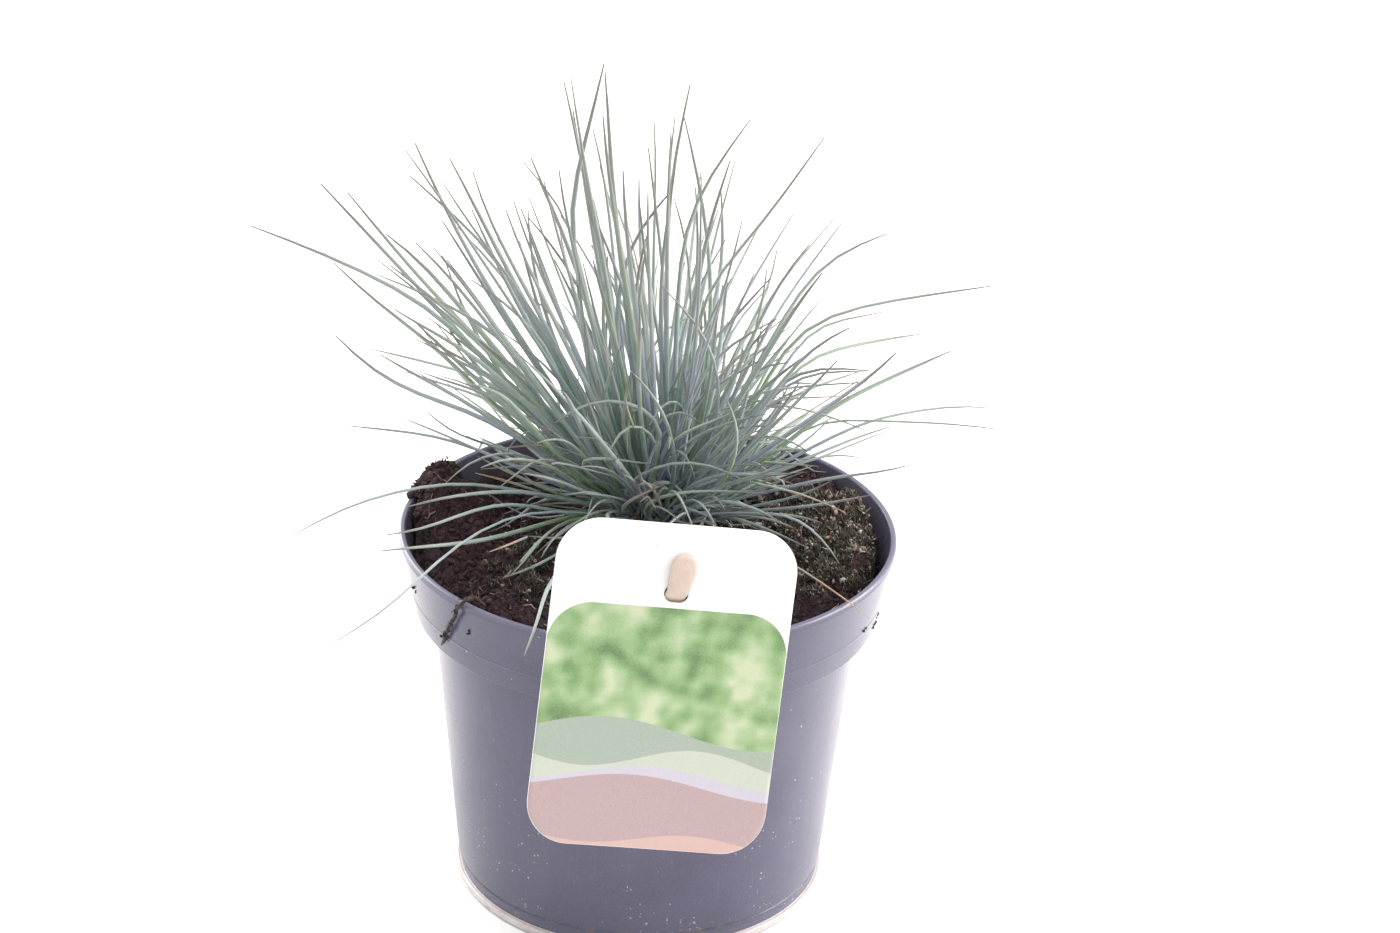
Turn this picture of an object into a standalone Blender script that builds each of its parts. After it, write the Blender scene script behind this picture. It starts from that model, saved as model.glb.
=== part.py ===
# A blue fescue clump in a round nursery pot, with its plant label.
#
# Metres, +Z up. The origin is the middle of the pot's flat base, on the ground.
# The label leans on the front rim, towards -Y. Azimuths are in degrees: 0 is +X,
# 90 is +Y, the far side.

import bmesh
import bpy
import math
import random

import numpy as np
from mathutils import Euler, Matrix, Vector
from mathutils.bvhtree import BVHTree
from mathutils.kdtree import KDTree

MM = 0.001
GAP = 0.3 * MM                     # clearance between pieces that touch

# Pot
POT_HEIGHT = 100.3 * MM
RIM_RADIUS = 65.0 * MM             # a 13 cm pot, across its rim
RIM_INSIDE = 63.4 * MM
BAND_DEPTH = 21.3 * MM             # the wide band below the rim
BAND_RADIUS = 60.8 * MM            # at the band's lower edge
SHOULDER_RADIUS = 55.9 * MM        # the body just below the band
FOOT_RADIUS = 48.2 * MM
FOOT_GROOVE = 6.0 * MM             # height of the groove around the foot
RING_HEIGHT = 2.3 * MM             # the ring that the pot stands on, and how far it juts out
RING_REACH = 1.0 * MM
WALL = 1.3 * MM
FLOOR = 1.6 * MM
POT_SIDES = 48
DRAIN_HOLES = 8
DRAIN_RADIUS = 4.0 * MM
DRAIN_CIRCLE = 34.0 * MM

# Soil
SOIL_LEVEL = 89.8 * MM             # usual height of the surface near the wall
CROWN_X = 2.0 * MM                 # the clump grows a little behind the pot's axis
CROWN_Y = 19.0 * MM
CROWN_RISE = 7.0 * MM              # the root ball stands up under the crown
CROWN_SPREAD = 34.0 * MM
HEAP_RISE = 16.0 * MM              # peat heaped against the wall at the left
HEAP_AZIMUTH = 163.0
HEAP_SPREAD = 15.0                 # degrees around the wall
MARGIN_START = 36.0 * MM           # the heap and the hollow come in from here
MARGIN_WIDTH = 22.0 * MM
SHELF_RISE = 7.0 * MM              # the surface climbs towards the wall at the right and the back
SHELF_AZIMUTH = 30.0
SHELF_SPREAD = 55.0
SHELF_START = 26.0 * MM
SHELF_WIDTH = 26.0 * MM
HOLLOW_SAG = 3.0 * MM              # a hollow at the left, in front of the heap, where the peat sinks
HOLLOW_WIDTH = 10.0 * MM           # and stands back from the wall
HOLLOW_AZIMUTH = 196.0
HOLLOW_SPREAD = 18.0
TRENCH_WIDTH = 2.0 * MM            # a narrow gap along the wall at the right
TRENCH_AZIMUTH = 0.0
TRENCH_SPREAD = 28.0
CLOD_PLACE = (-43.0 * MM, -39.0 * MM)   # a clod against the wall at the front left
CLOD_WIDTH = 9.0 * MM
CLOD_RISE = 6.5 * MM
LUMP_RISE = 0.8 * MM
LEVEL_CROWN = 16.0 * MM            # no lumps within the crown itself
EDGE_DROP = 1.2 * MM               # the surface rounds down at its edge
SOIL_RINGS = 7

# Label
CARD_WIDTH = 60.5 * MM
CARD_HEIGHT = 84.0 * MM
CARD_THICKNESS = 0.5 * MM
CARD_CORNER = 11.0 * MM
CARD_CENTRE = (5.4 * MM, -67.9 * MM, 89.9 * MM)
CARD_LEAN = 12.3                   # degrees, top back over the soil
CARD_ROLL = 6.9
CARD_TURN = 7.9
SLOT_WIDTH = 6.8 * MM
SLOT_HEIGHT = 4.6 * MM
SLOT_CORNER = 1.8 * MM
SLOT_PLACE = (0.7 * MM, 24.3 * MM)  # across and up from the card's middle

# Peg: its way over the card, from the slot in mm (across, up, out), then down behind it
PEG_ON_CARD = [(1.0, 10.4, 1.3), (0.8, 6.5, 1.8), (0.2, 1.6, 1.5), (0.0, -0.8, -0.9), (0.0, -3.2, -2.8)]
PEG_AT_RIM = (6.1 * MM, -58.6 * MM, 99.8 * MM)
PEG_AT_STEP = (5.6 * MM, -51.0 * MM, 79.8 * MM)
PEG_TIP = (4.8 * MM, -41.5 * MM, 42.8 * MM)
PEG_THICKNESS = 1.8 * MM
PEG_POINT = 12.0 * MM              # length of the pointed end
# its sections, in mm from the head's top: how far down, and how wide
PEG_WIDTHS = [(0.0, 2.4), (0.6, 4.4), (1.6, 5.9), (3.4, 6.7), (5.6, 6.5), (7.8, 5.7), (10.0, 4.8),
              (12.0, 4.6)]
PEG_SHAFT_SECTIONS = 10

# Loose root: its way from the clod over the rim and down the band, in mm
LOOSE_ROOT = [
    (-39.0, -44.4, 101.4), (-42.6, -46.6, 102.0), (-45.4, -47.6, 101.0), (-47.0, -46.6, 98.2),
    (-48.2, -44.3, 94.4), (-49.6, -40.8, 89.8), (-50.7, -37.6, 85.4), (-51.4, -35.3, 82.6),
]
ROOT_SECTIONS = 16
# its share of the way, and its thickness there in mm
ROOT_THICKNESS = [(0.0, 0.7), (0.1, 1.1), (0.7, 1.3), (0.95, 1.1), (1.0, 0.5)]

# Clump
SHOOT_COUNT = 46
CROWN_HALF_WIDTH = 15.5 * MM
CROWN_HALF_DEPTH = 12.0 * MM
OUTER_LEAN = 48.0                  # degrees, of the outermost sheaths
GOLDEN_ANGLE = 137.508
SHEATH_RADIUS = 1.3 * MM
SHEATH_LENGTH = 7.0 * MM
LEAF_RADIUS = 0.62 * MM
LEAVES_PER_SHOOT = 5
SHORT_LEAF = (50, 96)              # mm, shortest and longest
SHORT_LEAF_TRIES = 14
SHORT_LEAF_LEAN = 62.0             # degrees, of the outermost shoots' short leaves
LEAN_RANGE = (4.0, 78.0)
LEAN_SCATTER = 12.0
AZIMUTH_SCATTER = 38.0
INNER_LAUNCH = 90.0                # launch angle of the innermost short leaves, and the outermost
OUTER_LAUNCH = 46.0
FLAT_LEAN = 68.0                   # a long leaf that leans this far grows on an outermost shoot
LONG_LEAF_MARKS = (0.07, 0.26, 0.48, 0.72, 0.9)    # where a leaf has its sections
SHORT_LEAF_MARKS = (0.1, 0.38, 0.7)
CLEAR_STEP = 1.2 * MM              # spacing of the points that the clearance is tested at
CLEAR_MARGIN = 0.5 * MM
OWN_START = 7.0 * MM               # leaves of one shoot may be closer than that up to here
SEED = 11

# The long leaves that give the clump its outline:
# azimuth, reach from the crown and height above the soil in mm, launch angle.
LONG_LEAVES = [
    # left
    (177, 108, 81, 68), (162, 97, 83, 48), (152, 97, 74, 43), (168, 75, 75, 65),
    (202, 67, 90, 69), (147, 74, 61, 49), (167, 90, 65, 43), (207, 76, 76, 65),
    (173, 87, 48, 30), (151, 92, 29, 55), (203, 77, 61, 50), (177, 82, 24, 37),
    # low on the left, out over the soil and the rim
    (214, 109, 24, 42), (219, 80, 28, 44), (224, 94, 26, 38), (230, 118, 14, 50),
    (199, 58, 20, 62), (249, 87, 4, 48),
    # up on the left
    (159, 71, 97, 54), (193, 68, 111, 70), (150, 80, 82, 70), (165, 59, 97, 65),
    (207, 54, 110, 60), (226, 56, 106, 64), (142, 49, 91, 80), (229, 46, 112, 70),
    # upright
    (144, 34, 118, 80), (202, 27, 130, 81), (197, 17, 132, 72), (125, 30, 119, 75),
    (242, 34, 128, 74), (113, 54, 93, 78), (257, 46, 119, 68), (98, 61, 75, 60),
    (96, 40, 101, 80), (272, 20, 120, 84), (85, 15, 111, 85), (64, 11, 122, 86),
    (44, 29, 109, 84), (308, 25, 113, 84), (74, 52, 77, 60), (296, 44, 105, 69),
    # up on the right
    (21, 43, 107, 84), (62, 63, 58, 50), (320, 47, 95, 75), (41, 61, 73, 68),
    (23, 63, 76, 78), (319, 53, 90, 70), (50, 65, 46, 52),
    # right
    (7, 86, 69, 80), (27, 66, 52, 70), (33, 83, 39, 66), (18, 81, 43, 48),
    (337, 65, 64, 48), (314, 63, 70, 53), (13, 90, 29, 48), (357, 90, 34, 70),
    (339, 70, 33, 40), (328, 65, 29, 34), (26, 69, 17, 30),
    # front
    (238, 47, 50, 80), (264, 42, 37, 80), (313, 66, 18, 45), (311, 84, 14, 30),
    # far side
    (58, 88, 62, 62), (72, 96, 70, 60), (84, 86, 88, 66), (103, 92, 74, 62),
    (118, 84, 84, 64), (131, 90, 58, 58), (92, 78, 40, 50), (68, 74, 36, 52),
    (112, 80, 34, 48), (127, 72, 102, 70), (52, 70, 92, 68), (80, 58, 108, 74),
]


def clear_scene():
    for item in list(bpy.data.objects):
        bpy.data.objects.remove(item, do_unlink=True)


def make_material(name, colour, roughness, metallic=0.0):
    material = bpy.data.materials.new(name)
    material.use_nodes = True
    shader = material.node_tree.nodes["Principled BSDF"]
    shader.inputs["Base Color"].default_value = (*colour, 1.0)
    shader.inputs["Roughness"].default_value = roughness
    shader.inputs["Metallic"].default_value = metallic
    return material


def make_object(name, vertices, faces, material, sharp_angle=None):
    mesh = bpy.data.meshes.new(name)
    mesh.from_pydata([tuple(v) for v in vertices], [], faces)
    mesh.update()
    item = bpy.data.objects.new(name, mesh)
    bpy.context.scene.collection.objects.link(item)
    item.data.materials.append(material)
    if sharp_angle is not None:
        mesh.shade_smooth()
        mesh.set_sharp_from_angle(angle=math.radians(sharp_angle))
    return item


def turned(loop, sides):
    """Turn a closed loop of (radius, height) points; points at radius 0 lie on the axis."""
    vertices, faces, rings = [], [], []
    for radius, height in loop:
        if radius == 0.0:
            rings.append([len(vertices)] * sides)
            vertices.append((0.0, 0.0, height))
            continue
        ring = []
        for side in range(sides):
            angle = 2 * math.pi * side / sides
            ring.append(len(vertices))
            vertices.append((radius * math.cos(angle), radius * math.sin(angle), height))
        rings.append(ring)
    for upper, lower in zip(rings, rings[1:] + rings[:1]):
        for side in range(sides):
            after = (side + 1) % sides
            face = list(dict.fromkeys([upper[side], lower[side], lower[after], upper[after]]))
            if len(face) >= 3:
                faces.append(face)
    return vertices, faces


def make_cutter(name, shape):
    mesh = bpy.data.meshes.new(name)
    shape.to_mesh(mesh)
    shape.free()
    cutter = bpy.data.objects.new(name, mesh)
    bpy.context.scene.collection.objects.link(cutter)
    return cutter


def subtract(item, cutter):
    cutter.hide_render = True
    cutter.display_type = 'WIRE'
    cut = item.modifiers.new("cut_" + cutter.name, 'BOOLEAN')
    cut.operation = 'DIFFERENCE'
    cut.solver = 'EXACT'
    cut.object = cutter


# ---------------------------------------------------------------- pot

BAND_EDGE = POT_HEIGHT - BAND_DEPTH
BAND_SLOPE = (RIM_RADIUS - 0.6 * MM - BAND_RADIUS) / (BAND_DEPTH - 2.2 * MM)


def band_inside(height):
    """Inner radius of the wall within the band."""
    return BAND_RADIUS - WALL - 0.2 * MM + BAND_SLOPE * (height - BAND_EDGE)


def build_pot(material):
    ring_radius = FOOT_RADIUS + RING_REACH
    outside = [
        (RIM_INSIDE, POT_HEIGHT - 0.3 * MM),
        (RIM_INSIDE + 0.3 * MM, POT_HEIGHT),
        (RIM_RADIUS - 0.4 * MM, POT_HEIGHT),
        (RIM_RADIUS, POT_HEIGHT - 0.5 * MM),
        (RIM_RADIUS, POT_HEIGHT - 1.9 * MM),
        (RIM_RADIUS - 0.6 * MM, POT_HEIGHT - 2.2 * MM),
        (BAND_RADIUS, BAND_EDGE),
        (BAND_RADIUS - 0.3 * MM, BAND_EDGE - 0.3 * MM),
        (SHOULDER_RADIUS + 0.5 * MM, BAND_EDGE - 0.5 * MM),
        (SHOULDER_RADIUS, BAND_EDGE - 1.2 * MM),
        (FOOT_RADIUS + 0.6 * MM, FOOT_GROOVE + 0.4 * MM),
        (FOOT_RADIUS + 0.1 * MM, FOOT_GROOVE),
        (FOOT_RADIUS + 0.4 * MM, FOOT_GROOVE - 0.5 * MM),
        (FOOT_RADIUS, RING_HEIGHT + 0.1 * MM),
        (ring_radius, RING_HEIGHT - 0.1 * MM),
        (ring_radius, 0.4 * MM),
        (ring_radius - 0.5 * MM, 0.0),
    ]
    inside = [
        (FOOT_RADIUS - 1.6 * MM, FLOOR),
        (FOOT_RADIUS - 0.8 * MM, FLOOR + 1.0 * MM),
        (SHOULDER_RADIUS - WALL, BAND_EDGE - 1.4 * MM),
        (SHOULDER_RADIUS - WALL + 0.5 * MM, BAND_EDGE + 0.9 * MM),
        (band_inside(BAND_EDGE + 1.2 * MM), BAND_EDGE + 1.2 * MM),
        (band_inside(POT_HEIGHT - 3.0 * MM), POT_HEIGHT - 3.0 * MM),
    ]
    vertices, faces = turned(outside + [(0.0, 0.0), (0.0, FLOOR)] + inside, POT_SIDES)
    pot = make_object("pot", vertices, faces, material, sharp_angle=32)

    drill = bmesh.new()
    for hole in range(DRAIN_HOLES):
        angle = 2 * math.pi * (hole + 0.5) / DRAIN_HOLES
        centre = (DRAIN_CIRCLE * math.cos(angle), DRAIN_CIRCLE * math.sin(angle), 0.0)
        bmesh.ops.create_cone(drill, cap_ends=True, segments=12, radius1=DRAIN_RADIUS,
                              radius2=DRAIN_RADIUS, depth=4 * FLOOR,
                              matrix=Matrix.Translation(centre))
    subtract(pot, make_cutter("drain_drill", drill))
    return pot


# ---------------------------------------------------------------- soil


def turned_angle(x, y, azimuth):
    """Degrees between a point's azimuth and a given one, without sign."""
    return abs((math.degrees(math.atan2(y, x)) - azimuth + 180.0) % 360.0 - 180.0)


def bump(distance, width):
    return math.exp(-(distance / width) ** 2)


def ramp(radius, start, width):
    """0 within the start radius, 1 beyond the width after it, straight between them."""
    return min(max((radius - start) / width, 0.0), 1.0)


def hollow_share(x, y):
    """1 along most of the hollow's length, falling off steeply at both ends."""
    return bump(turned_angle(x, y, HOLLOW_AZIMUTH) ** 2, HOLLOW_SPREAD ** 2)


def soil_height(x, y):
    """Height of the soil's surface: a mound under the crown, a heap, a shelf, a hollow, a clod and lumps."""
    from_crown = math.hypot(x - CROWN_X, y - CROWN_Y)
    radius = math.hypot(x, y)
    heap = bump(turned_angle(x, y, HEAP_AZIMUTH), HEAP_SPREAD) * ramp(radius, MARGIN_START, MARGIN_WIDTH)
    shelf = bump(turned_angle(x, y, SHELF_AZIMUTH), SHELF_SPREAD) * ramp(radius, SHELF_START, SHELF_WIDTH)
    hollow = hollow_share(x, y) * ramp(radius, MARGIN_START, MARGIN_WIDTH)
    clod = bump(math.hypot(x - CLOD_PLACE[0], y - CLOD_PLACE[1]), CLOD_WIDTH)
    lumps = math.sin(410 * x + 1.3) * math.sin(370 * y + 0.4) + 0.6 * math.sin(760 * x - 620 * y)
    return (SOIL_LEVEL + CROWN_RISE * bump(from_crown, CROWN_SPREAD) + HEAP_RISE * heap
            + SHELF_RISE * shelf - HOLLOW_SAG * hollow + CLOD_RISE * clod
            + LUMP_RISE * lumps * (1.0 - bump(from_crown, LEVEL_CROWN)))


def recess(x, y):
    """How far the root ball stands back from the wall in the direction of a point."""
    return (TRENCH_WIDTH * bump(turned_angle(x, y, TRENCH_AZIMUTH), TRENCH_SPREAD)
            + HOLLOW_WIDTH * hollow_share(x, y))


def build_soil(material, pocket):
    """The root ball: rings over its surface, then loops down its side, one step in at the shoulder."""
    clear = GAP + 0.1 * MM
    step_inside = SHOULDER_RADIUS - WALL - clear
    vertices, faces, rings = [], [], []
    for ring_number in range(1, SOIL_RINGS + 1):
        share = (ring_number / SOIL_RINGS) ** 0.85
        ring = []
        for side in range(POT_SIDES):
            angle = 2 * math.pi * side / POT_SIDES
            along = (math.cos(angle), math.sin(angle))
            level = (SOIL_LEVEL + SHELF_RISE * bump(turned_angle(*along, SHELF_AZIMUTH), SHELF_SPREAD)
                     - HOLLOW_SAG * hollow_share(*along))
            edge = band_inside(level) - clear - recess(*along)
            x, y = share * edge * along[0], share * edge * along[1]
            height = soil_height(x, y)
            if ring_number == SOIL_RINGS:
                height -= EDGE_DROP
            ring.append(len(vertices))
            vertices.append((x, y, height))
        rings.append(ring)
    side_loops = [
        (band_inside(BAND_EDGE + 2.0 * MM) - clear, BAND_EDGE + 1.8 * MM),
        (step_inside, BAND_EDGE + 1.6 * MM),
        (step_inside - 0.1 * MM, BAND_EDGE - 1.4 * MM),
        (FOOT_RADIUS - 1.4 * MM, FLOOR + 1.2 * MM),
        (FOOT_RADIUS - 2.4 * MM, FLOOR + GAP),
    ]
    for number, (radius, height) in enumerate(side_loops):
        ring = []
        for side in range(POT_SIDES):
            angle = 2 * math.pi * side / POT_SIDES
            along = (math.cos(angle), math.sin(angle))
            out = radius - (recess(*along) if number == 0 else 0.0)
            ring.append(len(vertices))
            vertices.append((out * along[0], out * along[1], height))
        rings.append(ring)
    top, bottom = len(vertices), len(vertices) + 1
    vertices.append((0.0, 0.0, soil_height(0.0, 0.0)))
    vertices.append((0.0, 0.0, FLOOR + GAP))
    for side in range(POT_SIDES):
        after = (side + 1) % POT_SIDES
        faces.append((top, rings[0][side], rings[0][after]))
        faces.append((bottom, rings[-1][after], rings[-1][side]))
        for upper, lower in zip(rings, rings[1:]):
            faces.append((upper[side], lower[side], lower[after], upper[after]))
    soil = make_object("soil", vertices, faces, material, sharp_angle=50)
    subtract(soil, pocket)
    return soil


# ---------------------------------------------------------------- swept strips and strands


def smooth_path(points):
    """Close points along a Catmull-Rom curve through the given ones."""
    knots = np.array([points[0]] + list(points) + [points[-1]], float)
    dense = []
    for index in range(len(points) - 1):
        a, b, c, d = knots[index:index + 4]
        t = np.linspace(0.0, 1.0, 24, endpoint=False)[:, None]
        dense.append(0.5 * (2 * b + (c - a) * t + (2 * a - 5 * b + 4 * c - d) * t ** 2
                            + (3 * b - a - 3 * c + d) * t ** 3))
    return np.vstack(dense + [knots[-1:]])


def length_along(path):
    """Distance along a path at each of its points."""
    return np.concatenate([[0.0], np.cumsum(np.linalg.norm(np.diff(path, axis=0), axis=1))])


def along_path(path, shares):
    """Points at the given shares of a path's length."""
    run = length_along(path)
    marks = np.array(shares) * run[-1]
    return np.column_stack([np.interp(marks, run, path[:, axis]) for axis in range(3)])


def swept(path, across, widths, depths, sides):
    """A closed bar along a path: an oval section, its width kept along `across`."""
    path = np.array(path, float)
    tangents = np.gradient(path, axis=0)
    vertices, faces, rings = [], [], []
    for point, tangent, width, depth in zip(path, tangents, widths, depths):
        tangent = Vector(tangent).normalized()
        side_way = (Vector(across) - tangent * tangent.dot(Vector(across))).normalized()
        depth_way = tangent.cross(side_way)
        ring = []
        for side in range(sides):
            angle = 2 * math.pi * side / sides
            corner = (Vector(point) + side_way * (0.5 * width * math.cos(angle))
                      + depth_way * (0.5 * depth * math.sin(angle)))
            ring.append(len(vertices))
            vertices.append(corner)
        rings.append(ring)
    for first, second in zip(rings, rings[1:]):
        for side in range(sides):
            after = (side + 1) % sides
            faces.append((first[side], first[after], second[after], second[side]))
    faces.append(tuple(reversed(rings[0])))
    faces.append(tuple(rings[-1]))
    return vertices, faces


# ---------------------------------------------------------------- label


def card_matrix():
    turn = Euler((math.radians(-CARD_LEAN), math.radians(CARD_ROLL), math.radians(CARD_TURN)))
    return Matrix.Translation(CARD_CENTRE) @ turn.to_matrix().to_4x4()


def card_point(across, up, out):
    """A place given on the card: across, up, and out of its front face."""
    return card_matrix() @ Vector((across, -out, up))


def build_card(material):
    outline = []
    for quarter in range(4):
        centre_x = (CARD_WIDTH / 2 - CARD_CORNER) * (1 if quarter in (0, 3) else -1)
        centre_z = (CARD_HEIGHT / 2 - CARD_CORNER) * (1 if quarter in (0, 1) else -1)
        for step in range(7):
            angle = math.pi / 2 * (quarter + step / 6)
            outline.append((centre_x + CARD_CORNER * math.cos(angle),
                            centre_z + CARD_CORNER * math.sin(angle)))
    count = len(outline)
    half = CARD_THICKNESS / 2
    vertices = [(x, -half, z) for x, z in outline] + [(x, half, z) for x, z in outline]
    faces = [tuple(range(count)), tuple(reversed(range(count, 2 * count)))]
    for step in range(count):
        after = (step + 1) % count
        faces.append((after, step, step + count, after + count))
    card = make_object("label_card", vertices, faces, material, sharp_angle=40)
    card.matrix_world = card_matrix()

    slot = bmesh.new()
    place = (Matrix.Translation((SLOT_PLACE[0], 0.0, SLOT_PLACE[1]))
             @ Matrix.Diagonal((SLOT_WIDTH, 6 * CARD_THICKNESS, SLOT_HEIGHT, 1.0)))
    bmesh.ops.create_cube(slot, size=1.0, matrix=place)
    through = [edge for edge in slot.edges if abs((edge.verts[0].co - edge.verts[1].co).y) > MM]
    bmesh.ops.bevel(slot, geom=through, offset=SLOT_CORNER, segments=3, profile=0.5, affect='EDGES')
    cutter = make_cutter("slot_cutter", slot)
    cutter.matrix_world = card_matrix()
    subtract(card, cutter)
    return card


def peg_shape(extra):
    """The peg's strip, from its head down through the slot to its tip in the soil."""
    route = [card_point(SLOT_PLACE[0] + across * MM, SLOT_PLACE[1] + up * MM, out * MM)
             for across, up, out in PEG_ON_CARD]
    route += [Vector(PEG_AT_RIM), Vector(PEG_AT_STEP), Vector(PEG_TIP)]
    path = smooth_path(route)
    length = length_along(path)[-1]
    head_marks = np.array([mark for mark, _ in PEG_WIDTHS]) * MM
    shaft_marks = np.linspace(head_marks[-1], length, PEG_SHAFT_SECTIONS + 1)[1:]
    marks = np.concatenate([head_marks, shaft_marks])
    pointed = np.minimum(1.0, 0.3 + 0.7 * (length - marks) / PEG_POINT)
    rounded = np.minimum(1.0, 0.5 + marks / (3 * MM))
    widths = np.interp(marks, head_marks, [width * MM for _, width in PEG_WIDTHS]) * pointed
    depths = PEG_THICKNESS * pointed * rounded
    across = card_matrix().to_3x3() @ Vector((1.0, 0.0, 0.0))
    return swept(along_path(path, marks / length), across, widths + 2 * extra, depths + 2 * extra,
                 sides=10)


def build_peg(material):
    vertices, faces = peg_shape(0.0)
    return make_object("label_peg", vertices, faces, material, sharp_angle=60)


def build_peg_pocket(material):
    """The hole that the peg's shaft leaves in the soil."""
    vertices, faces = peg_shape(GAP + 0.1 * MM)
    return make_object("peg_pocket", vertices, faces, material)


def build_loose_root(material):
    marks = np.linspace(0.0, 1.0, ROOT_SECTIONS)
    path = along_path(smooth_path([[value * MM for value in point] for point in LOOSE_ROOT]), marks)
    thickness = np.interp(marks, [mark for mark, _ in ROOT_THICKNESS],
                          [thick * MM for _, thick in ROOT_THICKNESS])
    vertices, faces = swept(path, (0.3, 0.2, 0.9), thickness, thickness, sides=6)
    return make_object("loose_root", vertices, faces, material, sharp_angle=80)


# ---------------------------------------------------------------- clump


class Clearance:
    """Points taken along everything that the leaves must keep clear of."""

    def __init__(self):
        self.points = []
        self.radii = []
        self.owners = []
        self.tree = None

    def add(self, points, radius, owner):
        self.points.extend(Vector(point) for point in points)
        self.radii.extend([radius] * len(points))
        self.owners.extend([owner] * len(points))
        self.tree = None

    def is_clear(self, points, radius, owner):
        if self.tree is None:
            self.tree = KDTree(len(self.points))
            for number, point in enumerate(self.points):
                self.tree.insert(point, number)
            self.tree.balance()
        widest = max(self.radii)
        for along, point in enumerate(points):
            for _, number, distance in self.tree.find_range(point, radius + widest + CLEAR_MARGIN):
                own = self.owners[number] == owner
                if own and along * CLEAR_STEP < OWN_START:
                    continue
                needed = radius + self.radii[number] + (0.3 * CLEAR_MARGIN if own else CLEAR_MARGIN)
                if distance < needed:
                    return False
        return True


def heading(azimuth):
    return np.array([math.cos(math.radians(azimuth)), math.sin(math.radians(azimuth)), 0.0])


def leaf_curve(root, axis, tip, launch, count=40):
    """Cubic curve: it leaves along the sheath, bends to its launch angle and on to its tip."""
    chord = np.linalg.norm(tip - root)
    away = tip - root
    away[2] = 0.0
    away = away / max(np.linalg.norm(away), 1e-6)
    climb = math.radians(launch)
    first = root + 0.12 * chord * axis
    second = root + 0.5 * chord * (math.cos(climb) * away + math.sin(climb) * np.array([0, 0, 1.0]))
    t = np.linspace(0.0, 1.0, count)[:, None]
    return ((1 - t) ** 3 * root + 3 * t * (1 - t) ** 2 * first + 3 * t ** 2 * (1 - t) * second
            + t ** 3 * tip)


def add_obstacles(clearance):
    """The card, the peg, the rim and the loose root, as points that no leaf may come close to."""
    spacing = 2.4 * MM
    across = np.arange(-CARD_WIDTH / 2, CARD_WIDTH / 2 + MM, spacing)
    up = np.arange(-CARD_HEIGHT / 2, CARD_HEIGHT / 2 + MM, spacing)
    clearance.add([card_point(a, u, 0.0) for a in across for u in up], 0.7 * spacing, "label")
    peg = bpy.data.objects["label_peg"].data
    clearance.add([vertex.co for vertex in peg.vertices], 1.5 * MM, "label")
    angles = np.radians(np.arange(0.0, 360.0, 1.5))
    middle = (RIM_RADIUS + RIM_INSIDE) / 2
    rim = np.column_stack([middle * np.cos(angles), middle * np.sin(angles),
                           np.full(angles.size, POT_HEIGHT)])
    clearance.add(rim, 1.2 * MM, "pot")
    root = bpy.data.objects["loose_root"].data
    clearance.add([vertex.co for vertex in root.vertices], 0.8 * MM, "root")


def is_in_the_open(path):
    """True where a leaf stays above the soil, inside the wall or wholly outside the pot."""
    for x, y, z in path[6:]:
        radius = math.hypot(x, y)
        if z > POT_HEIGHT + 4 * MM:
            continue
        if radius < RIM_INSIDE - 1.5 * MM and z < soil_height(x, y) + 1.4 * MM:
            return False
        if RIM_INSIDE - 1.5 * MM <= radius < RIM_RADIUS + 1.0 * MM and z < POT_HEIGHT + 1.0 * MM:
            return False
    return True


class Shoot:
    """One tiller: where its sheath stands, which way it leans, and its leaves."""

    def __init__(self, number, soil_surface):
        self.number = number
        self.azimuth = (GOLDEN_ANGLE * number) % 360.0
        self.lean = math.sqrt((number + 0.5) / SHOOT_COUNT)
        self.seat = self.lean * heading(self.azimuth)
        x = CROWN_X + CROWN_HALF_WIDTH * self.seat[0]
        y = CROWN_Y + CROWN_HALF_DEPTH * self.seat[1]
        below = []
        for dx, dy in ((0, 0), (1, 0), (-1, 0), (0, 1), (0, -1)):
            above = Vector((x + SHEATH_RADIUS * dx, y + SHEATH_RADIUS * dy, 2 * POT_HEIGHT))
            below.append(soil_surface.ray_cast(above, Vector((0, 0, -1)))[0].z)
        self.foot = np.array([x, y, max(below) + GAP + 0.1 * MM])
        tilt = math.radians(OUTER_LEAN * self.lean)
        self.axis = math.sin(tilt) * heading(self.azimuth) + np.array([0, 0, math.cos(tilt)])
        self.top = self.foot + self.axis * SHEATH_LENGTH
        self.leaves = []


def grow_leaf(shoot, clearance, tips, launch):
    """Grow a leaf to the first of the tips that keeps it clear of what already stands."""
    for tip in tips:
        side_way = tip - shoot.top
        side_way[2] = 0.0
        side_way = side_way / max(np.linalg.norm(side_way), 1e-6)
        axis = shoot.axis + 0.3 * side_way
        axis = axis / np.linalg.norm(axis)
        path = leaf_curve(shoot.top + 0.5 * SHEATH_RADIUS * side_way, axis, tip, launch)
        steps = int(length_along(path)[-1] / CLEAR_STEP)
        points = along_path(path, np.linspace(0.0, 1.0, steps + 2))
        if not is_in_the_open(path):
            continue
        if clearance.is_clear([Vector(point) for point in points[2:]], LEAF_RADIUS, shoot.number):
            clearance.add(points, LEAF_RADIUS, shoot.number)
            shoot.leaves.append(path)
            return True
    return False


def leaf_section(point, ahead, radius):
    """Three corners of a leaf's keeled section: its ridge, and the two edges below it."""
    tangent = Vector(ahead - point).normalized()
    upright = Vector((0, 0, 1)) if abs(tangent.z) < 0.98 else Vector((1, 0, 0))
    side_way = upright.cross(tangent).normalized()
    normal = tangent.cross(side_way)
    return [Vector(point) + radius * (normal * math.sin(angle) + side_way * math.cos(angle))
            for angle in (math.pi / 2, math.pi * 7 / 6, math.pi * 11 / 6)]


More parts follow.
